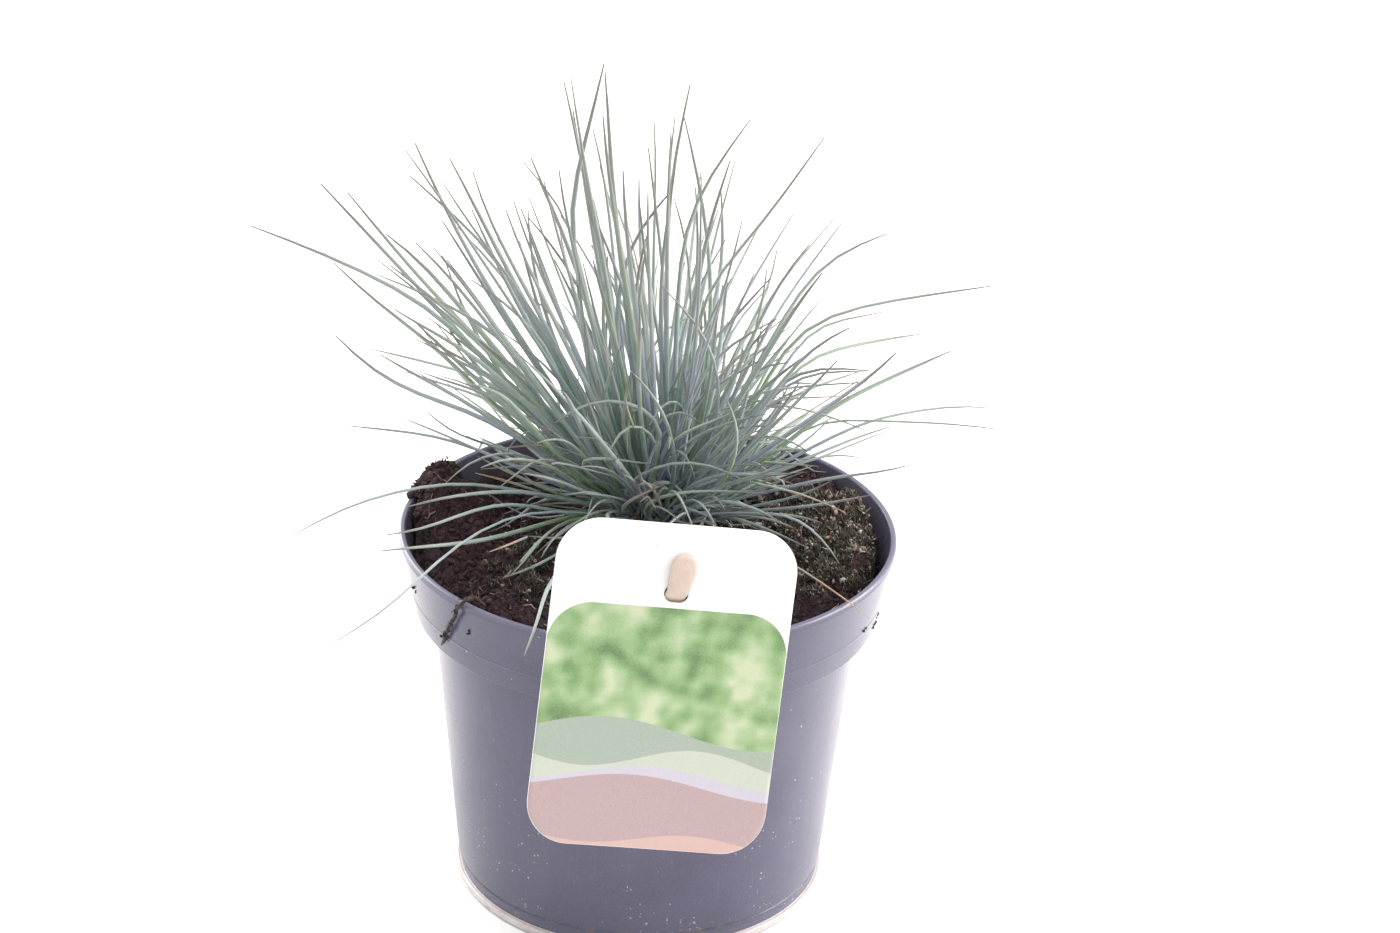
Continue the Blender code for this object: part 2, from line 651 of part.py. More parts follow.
def least_twisted(corners, middle, vertices, previous):
    """The corners, started from the one that lines up best with the section before."""
    before = sum((vertices[index] for index in previous), Vector()) / 3
    turns = [corners[shift:] + corners[:shift] for shift in range(3)]

    def twist(turn):
        return sum(((corner - middle) - (vertices[index] - before)).length
                   for corner, index in zip(turn, previous))

    return min(turns, key=twist)


def shoot_mesh(shoot):
    """A sheath whose top is a fan of triangles, each drawn out into one three-sided leaf."""
    count = len(shoot.leaves)
    sectors = max(count, 3)
    toward = np.array([path[-1] - path[0] for path in shoot.leaves])
    toward /= np.linalg.norm(toward, axis=1)[:, None]
    spread = toward - toward.mean(axis=0)
    angles = np.arctan2(spread[:, 1], spread[:, 0])
    order = np.argsort(angles)
    slots = 2 * math.pi * np.arange(sectors) / sectors
    offset = np.angle(np.mean(np.exp(1j * (angles[order] - slots[:count]))))
    axis = Vector(shoot.axis)
    side_x = (Vector((1, 0, 0)) - axis * axis.x).normalized()
    side_y = axis.cross(side_x)
    ring = [SHEATH_RADIUS * (side_x * math.cos(angle) + side_y * math.sin(angle))
            for angle in offset + slots - math.pi / sectors]

    foot = Vector(shoot.foot)
    vertices = [Vector((foot.x + corner.x, foot.y + corner.y, foot.z)) for corner in ring]
    vertices += [Vector(shoot.top) + corner for corner in ring]
    centre = len(vertices)
    vertices.append(Vector(shoot.top))
    faces = [tuple(reversed(range(sectors)))]
    for sector in range(sectors):
        after = (sector + 1) % sectors
        faces.append((sector, after, sectors + after, sectors + sector))
        previous = [centre, sectors + sector, sectors + after]
        if sector >= count:
            faces.append(tuple(previous))
            continue
        path = shoot.leaves[order[sector]]
        is_long = length_along(path)[-1] > SHORT_LEAF[1] * MM
        marks = LONG_LEAF_MARKS if is_long else SHORT_LEAF_MARKS
        for mark in marks:
            point, ahead = along_path(path, [mark, mark + 0.04])
            corners = leaf_section(point, ahead, LEAF_RADIUS * (1.0 - 0.55 * mark ** 2))
            section = list(range(len(vertices), len(vertices) + 3))
            vertices += least_twisted(corners, Vector(point), vertices, previous)
            for corner in range(3):
                beside = (corner + 1) % 3
                faces.append((previous[corner], previous[beside], section[beside], section[corner]))
            previous = section
        tip = len(vertices)
        vertices.append(Vector(path[-1]))
        for corner in range(3):
            faces.append((previous[corner], previous[(corner + 1) % 3], tip))
    return vertices, faces


def grow_long_leaves(shoots, clearance):
    """Each long leaf on the shoot that stands and leans nearest to its own way; returns how many fail."""
    crown = np.array([CROWN_X, CROWN_Y, SOIL_LEVEL])
    turns = (0, 1, -1, 2, -2, 3, -3, 4, -4, 5, -5)
    missed = 0
    for azimuth, reach, rise, launch in sorted(LONG_LEAVES, key=lambda leaf: leaf[2] / leaf[1]):
        lean = math.degrees(math.atan2(reach, rise))
        wanted = heading(azimuth) * min(1.0, lean / FLAT_LEAN)
        by_fit = sorted(shoots, key=lambda shoot: float(np.linalg.norm(shoot.seat - wanted))
                        + 0.4 * len(shoot.leaves))
        tips = [crown + reach * MM * heading(azimuth + turn) + np.array([0, 0, (rise + lift) * MM])
                for lift in (0, 2, 4) for turn in turns]
        if not any(grow_leaf(shoot, clearance, tips, launch) for shoot in by_fit[:4]):
            missed += 1
    return missed


def grow_short_leaves(shoots, clearance):
    """Shorter leaves about each shoot's own lean, wherever there is room."""
    draw = random.Random(SEED)
    for _ in range(LEAVES_PER_SHOOT):
        for shoot in shoots:
            if len(shoot.leaves) >= LEAVES_PER_SHOOT:
                continue
            tips = []
            for _ in range(SHORT_LEAF_TRIES):
                azimuth = shoot.azimuth + draw.gauss(0, AZIMUTH_SCATTER)
                lean = SHORT_LEAF_LEAN * shoot.lean + draw.gauss(0, LEAN_SCATTER)
                lean = math.radians(min(max(lean, LEAN_RANGE[0]), LEAN_RANGE[1]))
                length = draw.uniform(*SHORT_LEAF) * MM
                tips.append(shoot.top + length * (math.sin(lean) * heading(azimuth)
                                                  + np.array([0, 0, math.cos(lean)])))
            launch = INNER_LAUNCH + (OUTER_LAUNCH - INNER_LAUNCH) * shoot.lean
            grow_leaf(shoot, clearance, tips, launch)


def build_clump(material):
    """All the shoots, each at its place on the soil, and their leaves."""
    soil = bpy.data.objects["soil"].data
    surface = BVHTree.FromPolygons([vertex.co.copy() for vertex in soil.vertices],
                                   [tuple(face.vertices) for face in soil.polygons])
    clearance = Clearance()
    add_obstacles(clearance)
    shoots = [Shoot(number, surface) for number in range(SHOOT_COUNT)]
    for shoot in shoots:
        stem = [shoot.foot + (shoot.top - shoot.foot) * share for share in np.linspace(0, 1, 6)]
        clearance.add(stem, SHEATH_RADIUS, shoot.number)

    missed = grow_long_leaves(shoots, clearance)
    grow_short_leaves(shoots, clearance)
    print("long leaves left out:", missed, "leaves:", sum(len(shoot.leaves) for shoot in shoots))

    for shoot in shoots:
        vertices, faces = shoot_mesh(shoot)
        make_object("shoot_%02d" % (shoot.number + 1), vertices, faces, material, sharp_angle=70)


def main():
    clear_scene()
    plastic = make_material("pot_plastic", (0.13, 0.125, 0.18), 0.42)
    peat = make_material("peat", (0.05, 0.035, 0.028), 0.95)
    printed = make_material("label_plastic", (0.86, 0.86, 0.84), 0.4)
    bone = make_material("peg_plastic", (0.78, 0.66, 0.55), 0.45)
    bark = make_material("root_bark", (0.06, 0.04, 0.035), 0.9)
    leaf = make_material("leaf", (0.17, 0.24, 0.21), 0.6)

    build_pot(plastic)
    build_soil(peat, build_peg_pocket(peat))
    build_card(printed)
    build_peg(bone)
    build_loose_root(bark)
    build_clump(leaf)


main()
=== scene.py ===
import math

import bpy
import numpy as np
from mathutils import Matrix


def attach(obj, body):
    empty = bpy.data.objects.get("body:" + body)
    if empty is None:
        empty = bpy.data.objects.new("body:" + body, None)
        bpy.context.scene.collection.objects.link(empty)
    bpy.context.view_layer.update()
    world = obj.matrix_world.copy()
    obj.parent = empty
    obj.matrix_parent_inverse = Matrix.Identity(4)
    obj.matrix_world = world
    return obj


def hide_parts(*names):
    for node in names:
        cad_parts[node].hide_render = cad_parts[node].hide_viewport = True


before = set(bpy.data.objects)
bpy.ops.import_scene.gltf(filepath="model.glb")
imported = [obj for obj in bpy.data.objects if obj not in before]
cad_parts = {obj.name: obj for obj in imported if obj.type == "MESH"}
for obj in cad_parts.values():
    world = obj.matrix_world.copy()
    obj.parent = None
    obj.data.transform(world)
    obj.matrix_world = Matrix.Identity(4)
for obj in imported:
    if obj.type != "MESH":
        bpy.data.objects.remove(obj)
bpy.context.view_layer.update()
print("frame loaded:", len(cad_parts), "nodes")

# Metres, +Z up, the origin in the middle of the pot's foot. Most lengths below are in millimetres,
# and turn into metres where a piece is made.
mm = 0.001


# camera, light and floor

cameraSpec = {
    "place": (12.92, -990.48, 593.3),    # mm
    "turn": (64.378, -1.811, 0.867),     # degrees about X, Y and Z
    "lens": 108.84,
    "sensor": 36.0,
    "imageSize": (1400, 933),            # the frame that the pixel sights below are read in
}

lightSpec = {
    "sky": 1.0,
    "softboxSize": 0.9,
    "softboxes": {                       # place in metres, and power
        "left": ((-0.8, 0.72, 0.5), 16.0),
        "right": ((1.05, 0.2, 0.5), 24.0),
        "top": ((-0.1, -0.25, 1.5), 6.0),
    },
    "softboxColour": (1.0, 0.965, 0.92),
    "softboxTarget": (0.0, 0.0, 0.09),
    "floorSize": 8.0,
    "floorColour": (0.9, 0.9, 0.9),
    "floorCloud": 0.985,                 # how much darker the floor's faint clouds are
}


def turnMatrix(degrees):
    # rotation about X, then Y, then Z, as a 3 x 3 array
    x, y, z = np.radians(degrees)
    aboutX = np.array([[1, 0, 0], [0, math.cos(x), -math.sin(x)], [0, math.sin(x), math.cos(x)]])
    aboutY = np.array([[math.cos(y), 0, math.sin(y)], [0, 1, 0], [-math.sin(y), 0, math.cos(y)]])
    aboutZ = np.array([[math.cos(z), -math.sin(z), 0], [math.sin(z), math.cos(z), 0], [0, 0, 1]])
    return aboutZ @ aboutY @ aboutX


def photoFrame():
    # the photo's width, its height and the focal length, in pixels
    wide, high = cameraSpec["imageSize"]
    return wide, high, cameraSpec["lens"] / cameraSpec["sensor"] * wide


def sightTo(pixels, depth):
    # where the sight lines through pixels (n, 2) meet the upright planes y = depth (n), in mm
    wide, high, focal = photoFrame()
    local = np.column_stack([pixels[:, 0] - wide / 2, high / 2 - pixels[:, 1], np.full(len(pixels), -focal)])
    ways = local @ turnMatrix(cameraSpec["turn"]).T
    place = np.array(cameraSpec["place"])
    return place + ways * ((depth - place[1]) / ways[:, 1])[:, None]


def lookAt(points):
    # scene points in mm to pixels of the photo
    wide, high, focal = photoFrame()
    local = (points - np.array(cameraSpec["place"])) @ turnMatrix(cameraSpec["turn"])
    return np.stack([wide / 2 - focal * local[..., 0] / local[..., 2],
                     high / 2 + focal * local[..., 1] / local[..., 2]], axis=-1)


def addObject(name, data):
    item = bpy.data.objects.new(name, data)
    bpy.context.scene.collection.objects.link(item)
    return item


def addSoftbox(name, place, power):
    light = bpy.data.lights.new(name, "AREA")
    light.shape = "SQUARE"
    light.size = lightSpec["softboxSize"]
    light.energy = power
    light.color = lightSpec["softboxColour"]
    item = addObject(name, light)
    item.location = place
    # turned so that its -Z axis points at the target
    way = np.array(item.location) - np.array(lightSpec["softboxTarget"])
    flat = math.hypot(way[0], way[1])
    item.rotation_euler = (math.atan2(flat, way[2]), 0.0, math.atan2(way[0], -way[1]))


def buildStudio():
    camera = addObject("camera", bpy.data.cameras.new("camera"))
    camera.location = [value * mm for value in cameraSpec["place"]]
    camera.rotation_euler = [math.radians(value) for value in cameraSpec["turn"]]
    camera.data.lens = cameraSpec["lens"]
    camera.data.sensor_width = cameraSpec["sensor"]
    bpy.context.scene.camera = camera

    world = bpy.data.worlds.new("tent")
    world.use_nodes = True
    world.node_tree.nodes["Background"].inputs["Color"].default_value = (1.0, 1.0, 1.0, 1.0)
    world.node_tree.nodes["Background"].inputs["Strength"].default_value = lightSpec["sky"]
    bpy.context.scene.world = world
    bpy.context.scene.view_settings.view_transform = "Standard"
    for side, (place, power) in lightSpec["softboxes"].items():
        addSoftbox(side + "Softbox", place, power)

    half = lightSpec["floorSize"] / 2
    mesh = bpy.data.meshes.new("paleFloor")
    corners = [(-half, -half, 0.0), (half, -half, 0.0), (half, half, 0.0), (-half, half, 0.0)]
    mesh.from_pydata(corners, [], [(0, 1, 2, 3)])
    mesh.materials.append(floorPaper())
    floor = addObject("paleFloor", mesh)
    print("studio: camera,", len(lightSpec["softboxes"]), "softboxes and floor")


def floorPaper():
    paint = newMaterial("floorPaper")
    cloud = paint.patches(3.0)
    dark = [value * lightSpec["floorCloud"] for value in lightSpec["floorColour"]]
    paint.colour = paint.blend(cloud, dark, lightSpec["floorColour"])
    return paint.finish(paint.between(cloud, 0.0, 1.0, 0.6, 0.7), paint.pits(500.0), 0.0001, 0.3)


# shapes that several pieces share


def ease(low, high, value):
    # 0 below low, 1 above high, and a smooth s-curve 3t^2 - 2t^3 between them
    t = np.clip((value - low) / (high - low), 0.0, 1.0)
    return t * t * (3.0 - 2.0 * t)


def bell(distance, width):
    # exp(-(distance / width)^2)
    return np.exp(-(distance / width) ** 2)


def waves(x, y, length, count, seed):
    # a sum of plane waves about `length` long, each with its own way and phase, mostly within -1 to 1
    dice = np.random.default_rng(seed)
    way = dice.uniform(0.0, 2 * np.pi, count)
    pitch = 2 * np.pi / (length * dice.uniform(0.7, 1.4, count))
    phase = dice.uniform(0.0, 2 * np.pi, count)
    run = np.multiply.outer(x, np.cos(way) * pitch) + np.multiply.outer(y, np.sin(way) * pitch) + phase
    return np.sin(run).sum(-1) / math.sqrt(2.0 * count)


def fullTurn(count):
    # `count` even bearings around a circle
    return 2 * np.pi * np.arange(count) / count


def polar(bearing, radius=1.0, height=0.0):
    # the points at a bearing, a radius and a height, broadcast against one another
    return np.stack(np.broadcast_arrays(radius * np.cos(bearing), radius * np.sin(bearing), height), axis=-1)


def mostlySmall(dice, count, low, high, power):
    # sizes from low to high on a log scale, by a random share raised to a power: large ones are rare
    return low * (high / low) ** (dice.random(count) ** power)


def lengthAlong(line):
    # how far each point of a line lies along it
    return np.concatenate([[0.0], np.cumsum(np.linalg.norm(np.diff(line, axis=0), axis=1))])


def pointsAlong(line, marks):
    # the points of a line at the given lengths along it
    run = lengthAlong(line)
    return np.column_stack([np.interp(marks, run, line[:, axis]) for axis in range(line.shape[1])])


def smoothLine(points, count):
    # `count` evenly spaced points along the Catmull-Rom curve through the given ones
    points = np.asarray(points, float)
    knots = np.vstack([2 * points[:1] - points[1:2], points, 2 * points[-1:] - points[-2:-1]])
    t = np.linspace(0.0, 1.0, 16, endpoint=False)[None, :, None]
    a, b, c, d = knots[:-3, None], knots[1:-2, None], knots[2:-1, None], knots[3:, None]
    dense = 0.5 * (2 * b + (c - a) * t + (2 * a - 5 * b + 4 * c - d) * t ** 2
                   + (3 * b - a - 3 * c + d) * t ** 3)
    dense = np.vstack([dense.reshape(-1, points.shape[1]), points[-1:]])
    return pointsAlong(dense, np.linspace(0.0, lengthAlong(dense)[-1], count))


def wander(starts, ways, lengths, points, bend, dice):
    # lines that set off along a way and turn a little at each step, by a random walk of size bend
    count = len(starts)
    turns = np.cumsum(dice.normal(0.0, bend, (count, points - 1, 3)), axis=1)
    steps = ways[:, None, :] + turns
    steps /= np.linalg.norm(steps, axis=2, keepdims=True)
    steps *= (lengths / (points - 1))[:, None, None]
    return np.concatenate([starts[:, None, :], starts[:, None, :] + np.cumsum(steps, axis=1)], axis=1)


def tubeFaces(rings, sides):
    # quads between neighbouring closed rings, and fans that close the tube onto the two points after them
    ring, side = np.meshgrid(np.arange(rings - 1), np.arange(sides), indexing="ij")
    after = (side + 1) % sides
    corners = [ring * sides + side, ring * sides + after,
               (ring + 1) * sides + after, (ring + 1) * sides + side]
    side = np.arange(sides)
    after, last, centre = (side + 1) % sides, (rings - 1) * sides, np.full(sides, rings * sides)
    fans = [np.column_stack([centre, after, side]), np.column_stack([centre + 1, last + side, last + after])]
    return np.stack(corners, axis=-1).reshape(-1, 4), np.concatenate(fans)


def repeated(points, quads, triangles):
    # a shape with its faces, once for each row of points (count, each, 3), and how many points each has
    count, each = points.shape[:2]
    first = each * np.arange(count)[:, None, None]
    quads, triangles = (quads + first).reshape(-1, 4), (triangles + first).reshape(-1, 3)
    return points.reshape(-1, 3), quads, triangles, each


def rodFrames(paths, across):
    # at each point of each path: along it, across kept square to it, and normal = along x across
    along = np.gradient(paths, axis=1)
    along /= np.linalg.norm(along, axis=2, keepdims=True)
    across = np.broadcast_to(across, (len(paths), 3))[:, None, :]
    across = across - along * (across * along).sum(2, keepdims=True)
    across = across / np.linalg.norm(across, axis=2, keepdims=True)
    return along, across, np.cross(along, across)


def strands(paths, radii, sides, across=(0.0, 0.0, 1.0), squeeze=1.0, spin=0.0):
    # many thin rods at once. Ring k of a rod is path[k] + radius[k] (cos a across + squeeze sin a normal),
    # with a around the rod. Each rod is closed by a point at either end.
    count, rings = paths.shape[:2]
    along, across, normal = rodFrames(paths, across)
    turned = fullTurn(sides)[None, None, :] + np.broadcast_to(spin, (count, rings))[:, :, None]
    wide = (np.cos(turned) * radii[:, :, None])[..., None]
    thick = (np.sin(turned) * radii[:, :, None] * squeeze)[..., None]
    surface = paths[:, :, None, :] + wide * across[:, :, None, :] + thick * normal[:, :, None, :]
    ends = np.stack([paths[:, 0] - along[:, 0] * radii[:, :1] * 0.3,
                     paths[:, -1] + along[:, -1] * radii[:, -1:] * 1.5], axis=1)
    return repeated(np.concatenate([surface.reshape(count, -1, 3), ends], axis=1), *tubeFaces(rings, sides))


def strandMaps(count, rings, sides):
    # for each corner of the faces that strands() makes: how far around, and how far along the rod
    ring, side = np.meshgrid(np.arange(rings - 1), np.arange(sides), indexing="ij")
    around = np.stack([side, side + 1, side + 1, side], axis=-1).reshape(-1, 4) / sides
    along = np.stack([ring, ring, ring + 1, ring + 1], axis=-1).reshape(-1, 4) / (rings - 1)
    quadMap = np.stack([around, along], axis=-1).reshape(-1, 2)
    side = np.arange(sides)
    startMap = np.stack([np.stack([side + 0.5, side + 1, side], -1) / sides, np.zeros((sides, 3))], axis=-1)
    endMap = np.stack([np.stack([side + 0.5, side, side + 1], -1) / sides, np.ones((sides, 3))], axis=-1)
    capMap = np.concatenate([startMap, endMap]).reshape(-1, 2)
    return np.tile(quadMap, (count, 1)), np.tile(capMap, (count, 1))


def lumps(centres, sizes, dice, rough, flat):
    # many small uneven balls: each is the unit ball, its points moved in or out by up to `rough`,
    # stretched along three of its own axes by up to `flat`, turned at random and set on its centre
    rows, columns = 2, 5
    lift = np.pi * (np.arange(1, rows + 1) / (rows + 1) - 0.5)[:, None]
    ball = polar(fullTurn(columns), np.cos(lift), np.sin(lift)).reshape(-1, 3)
    ball = np.vstack([ball, [[0, 0, -1], [0, 0, 1]]])
    count = len(centres)
    uneven = 1.0 + rough * dice.uniform(-1.0, 1.0, (count, len(ball), 1))
    stretch = 1.0 + flat * dice.uniform(-1.0, 1.0, (count, 1, 3))
    turns, _ = np.linalg.qr(dice.normal(size=(count, 3, 3)))
    turns *= np.sign(np.linalg.det(turns))[:, None, None]
    shaped = ball[None] * uneven * stretch * sizes[:, None, None]
    return repeated(np.einsum("nij,nkj->nki", turns, shaped) + centres[:, None, :], *tubeFaces(rows, columns))


def joined(*shapes):
    # several (points, quads, triangles) as one
    starts = np.cumsum([0] + [len(shape[0]) for shape in shapes])[:-1]
    faces = [np.vstack([shape[part] + start for shape, start in zip(shapes, starts)]) for part in (1, 2)]
    return np.vstack([shape[0] for shape in shapes]), *faces


def makeMesh(name, shape):
    points, quads, triangles = shape[:3]
    mesh = bpy.data.meshes.new(name)
    mesh.from_pydata((points * mm).tolist(), [], quads.tolist() + triangles.tolist())
    return mesh


def makePiece(name, shape, material, nodes=(), marks=None, maps=None, sharp=None):
    # a mesh from (points in mm, quads, triangles), with marks on its points and a map on its corners
    mesh = makeMesh(name, shape)
    mesh.shade_smooth()
    if sharp is not None:
        mesh.set_sharp_from_angle(angle=math.radians(sharp))
    for label, values in (marks or {}).items():
        mesh.attributes.new(label, "FLOAT", "POINT").data.foreach_set("value", values.astype(np.float32))
    if maps is not None:
        layer = mesh.uv_layers.new(name="bladeMap")
        layer.uv.foreach_set("vector", np.vstack(maps).astype(np.float32).ravel())
    mesh.materials.append(material)
    item = addObject(name, mesh)
    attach(item, "root")
    if nodes:
        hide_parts(*nodes)
    return item


# material helpers and the effects that several materials share


class Paint:
    # a shader tree with short ways to add nodes to it: each returns the socket that carries its result

    def __init__(self, tree, place):
        self.tree = tree
        self.place = place

    def add(self, kind, inputs=None, **settings):
        # a node with its settings made, each input given a value or another node's output
        item = self.tree.nodes.new("ShaderNode" + kind)
        for name, value in settings.items():
            setattr(item, name, value)
        for name, value in (inputs or {}).items():
            if isinstance(value, bpy.types.NodeSocket):
                self.tree.links.new(value, item.inputs[name])
            else:
                item.inputs[name].default_value = value
        return item

    def maths(self, operation, *values, clamp=False):
        # a Math node on the given values
        return self.add("Math", dict(enumerate(values)), operation=operation, use_clamp=clamp).outputs[0]

    def vectors(self, operation, inputs, output="Vector"):
        return self.add("VectorMath", inputs, operation=operation).outputs[output]

    def times(self, first, *others):
        # the product of all the values
        for other in others:
            first = self.maths("MULTIPLY", first, other)
        return first

    def weighed(self, first, second):
        # the sum of two (value, weight) pairs
        return self.maths("ADD", self.maths("MULTIPLY", *first), self.maths("MULTIPLY", *second))

    def between(self, value, low, high, start=0.0, end=1.0):
        # the value's place from low to high, smoothed, as a number from start to end
        ends = {"Value": value, "From Min": low, "From Max": high, "To Min": start, "To Max": end}
        return self.add("MapRange", ends, interpolation_type="SMOOTHSTEP").outputs["Result"]

    def part(self, vector, axis):
        return self.add("SeparateXYZ", {"Vector": vector}).outputs[axis]

    def mark(self, name):
        return self.add("Attribute", attribute_name=name).outputs["Fac"]

    def noise(self, scale, detail=3.0, roughness=0.55, distortion=0.0, stretch=None):
        place = self.place
        if stretch:
            place = self.add("Mapping", {"Vector": place, "Scale": stretch}).outputs["Vector"]
        inputs = {"Vector": place, "Scale": scale, "Detail": detail, "Roughness": roughness,
                  "Distortion": distortion}
        return self.add("TexNoise", inputs).outputs["Fac"]

    def ramp(self, value, stops):
        item = self.add("ValToRGB", {"Fac": value})
        band = item.color_ramp.elements
        for index, (place, colour) in enumerate(stops):
            stop = band[index] if index < 2 else band.new(place)
            stop.position = place
            stop.color = (*colour, 1.0)
        return item.outputs["Color"]

    def blend(self, share, first, second):
        first, second = (value if isinstance(value, bpy.types.NodeSocket) else (*value, 1.0)
                         for value in (first, second))
        return self.add("Mix", {0: share, 6: first, 7: second}, data_type="RGBA").outputs[2]

    def cover(self, colour, *shares):
        # another coat over the colour so far, as much of it as the product of the shares
        self.colour = self.blend(self.times(*shares), self.colour, colour)

    def effect(self, name, output, **inputs):
        return self.add("Group", {"Place": self.place, **inputs}, node_tree=effects[name]).outputs[output]

    def patches(self, scale, output="Mask"):
        return self.effect("patches", output, Scale=scale)

    def specks(self, scale, share, size):
        return self.effect("specks", "Mask", Scale=scale, Share=share, Size=size)

    def pits(self, scale):
        return self.effect("pits", "Height", Scale=scale)

    def finish(self, roughness, relief, distance, strength, **fixed):
        # the colour, the roughness and the relief go into the shader, and other inputs get fixed values
        bump = self.add("Bump", {"Height": relief, "Distance": distance, "Strength": strength})
        sources = {"Base Color": self.colour, "Roughness": roughness, "Normal": bump.outputs["Normal"]}
        inputs = self.shader.inputs
        for label, source in sources.items():
            self.tree.links.new(source, inputs[label])
        for label, value in fixed.items():
            inputs[shaderInputs[label]].default_value = value
        return self.material


shaderInputs = {"specular": "Specular IOR Level", "sheen": "Sheen Weight"}


def newMaterial(name, stops=None):
    # the paint of a new material. Stops colour it by the tint marked on its pieces.
    material = bpy.data.materials.new(name)
    material.use_nodes = True
    paint = Paint(material.node_tree, None)
    paint.material = material
    paint.shader = material.node_tree.nodes["Principled BSDF"]
    paint.place = paint.add("TexCoord").outputs["Object"]
    if stops:
        paint.colour = paint.ramp(paint.mark("tint"), stops)
    return paint


def newGroup(name, outputs, **inputs):
    # an empty node group: its paint, its inputs besides the place, and its outputs
    tree = bpy.data.node_groups.new(name, "ShaderNodeTree")
    tree.interface.new_socket("Place", in_out="INPUT", socket_type="NodeSocketVector")
    for label, value in inputs.items():
        tree.interface.new_socket(label, in_out="INPUT", socket_type="NodeSocketFloat").default_value = value
    for label in outputs:
        tree.interface.new_socket(label, in_out="OUTPUT", socket_type="NodeSocketFloat")
    given = tree.nodes.new("NodeGroupInput").outputs
    return Paint(tree, given["Place"]), given, tree.nodes.new("NodeGroupOutput").inputs


def softPatches():
    # cloudy patches from 0 to 1: a broad noise and a finer one, six parts to four
    paint, given, result = newGroup("softPatches", ("Mask", "Broad"), Scale=60.0)
    broad = paint.noise(given["Scale"], 2.0, 0.5)
    fine = paint.noise(paint.times(given["Scale"], 5.3), 4.0, 0.6)
    paint.tree.links.new(paint.between(paint.weighed((broad, 0.6), (fine, 0.4)), 0.33, 0.67), result["Mask"])
    paint.tree.links.new(paint.between(broad, 0.35, 0.65), result["Broad"])
    return paint.tree


def looseSpecks():
    # dust and grit: one ragged speck in a share of a Voronoi pattern's cells, uneven in size and strength
    paint, given, result = newGroup("looseSpecks", ("Mask",), Scale=400.0, Share=0.1, Size=0.25)
    scaled = paint.vectors("SCALE", {0: given["Place"], "Scale": given["Scale"]})
    ragged = paint.add("TexNoise", {"Vector": scaled, "Scale": 2.3, "Detail": 3.0}).outputs["Color"]
    moved = paint.vectors("MULTIPLY_ADD", {0: ragged, 1: (0.9, 0.9, 0.9), 2: scaled})
    cells = paint.add("TexVoronoi", {"Vector": moved, "Scale": 1.0, "Randomness": 1.0}).outputs
    chance = paint.add("SeparateColor", {"Color": cells["Color"]}).outputs
    chosen = paint.maths("LESS_THAN", chance["Red"], given["Share"])
    small = paint.maths("POWER", chance["Green"], 2.0)
    reach = paint.times(given["Size"], paint.between(small, 0.0, 1.0, 0.3, 1.0))
    edge = paint.between(paint.maths("SUBTRACT", reach, cells["Distance"]), -0.03, 0.06)
    faint = paint.between(chance["Blue"], 0.0, 1.0, 0.25, 1.0)
    paint.tree.links.new(paint.times(chosen, edge, faint), result["Mask"])
    return paint.tree


def pitted():
    # a fine uneven skin: two noises, the second three times finer
    paint, given, result = newGroup("pitted", ("Height",), Scale=900.0)
    coarse = paint.noise(given["Scale"])
    fine = paint.noise(paint.times(given["Scale"], 3.1), 2.0)
    paint.tree.links.new(paint.weighed((coarse, 0.65), (fine, 0.35)), result["Height"])
    return paint.tree


effects = {"patches": softPatches(), "specks": looseSpecks(), "pits": pitted()}
print("shared effects:", ", ".join(effects))


# pot

potSpec = {
    "height": 100.3,
    "rimRadius": 65.0,
    "rimInside": 63.4,
    "lipDepth": 2.2,
    "bandDepth": 21.3,
    "bandRadius": 60.8,
    "mouldLine": 15.0,      # a faint line this far below the rim
    "shoulderRadius": 55.9,
    "footRadius": 48.2,
    "footGroove": 6.0,
    "ringHeight": 2.3,      # the pale ring under the foot, and how far it juts out
    "ringReach": 1.0,
    "wall": 1.3,
    "floor": 1.6,
    "sides": 240,
    "sharp": 35,
    "drainHoles": 8,
    "drainRadius": 4.0,
    "drainCircle": 34.0,
    "plastic": ((0.064, 0.061, 0.105), (0.076, 0.073, 0.122)),
    "ring": ((0.56, 0.52, 0.52), (0.47, 0.42, 0.41)),
    "dust": (0.42, 0.41, 0.43),
    "grit": (0.2, 0.115, 0.075),
    "dustBelow": 52.0,      # the dust thickens from this height down
}
bandEdge = potSpec["height"] - potSpec["bandDepth"]
lipFlare = 0.6              # how far the lip juts out past the band
bandSlope = ((potSpec["rimRadius"] - lipFlare - potSpec["bandRadius"])
             / (potSpec["bandDepth"] - potSpec["lipDepth"]))


def bandOutside(height):
    # the band's outer radius: a straight cone between the lip and the band's lower edge
    return potSpec["bandRadius"] + bandSlope * (height - bandEdge)


def bandInside(height):
    # the same cone, a wall's thickness and a little draft further in
    return bandOutside(height) - potSpec["wall"] - 0.2


def rounded(corners, steps=5):
    # (x, y, round) corners: each becomes a parabola that starts and ends `round` before and after it
    corners = np.asarray(corners, float)
    spots, rounds = corners[1:-1, :2], corners[1:-1, 2:]
    before = corners[:-2, :2] - spots
    after = corners[2:, :2] - spots
    start = spots + before / np.linalg.norm(before, axis=1, keepdims=True) * rounds
    end = spots + after / np.linalg.norm(after, axis=1, keepdims=True) * rounds
    t = np.linspace(0.0, 1.0, steps)[None, :, None]
    curves = (1 - t) ** 2 * start[:, None] + 2 * t * (1 - t) * spots[:, None] + t ** 2 * end[:, None]
    return np.vstack([corners[:1, :2], curves.reshape(-1, 2), corners[-1:, :2]])


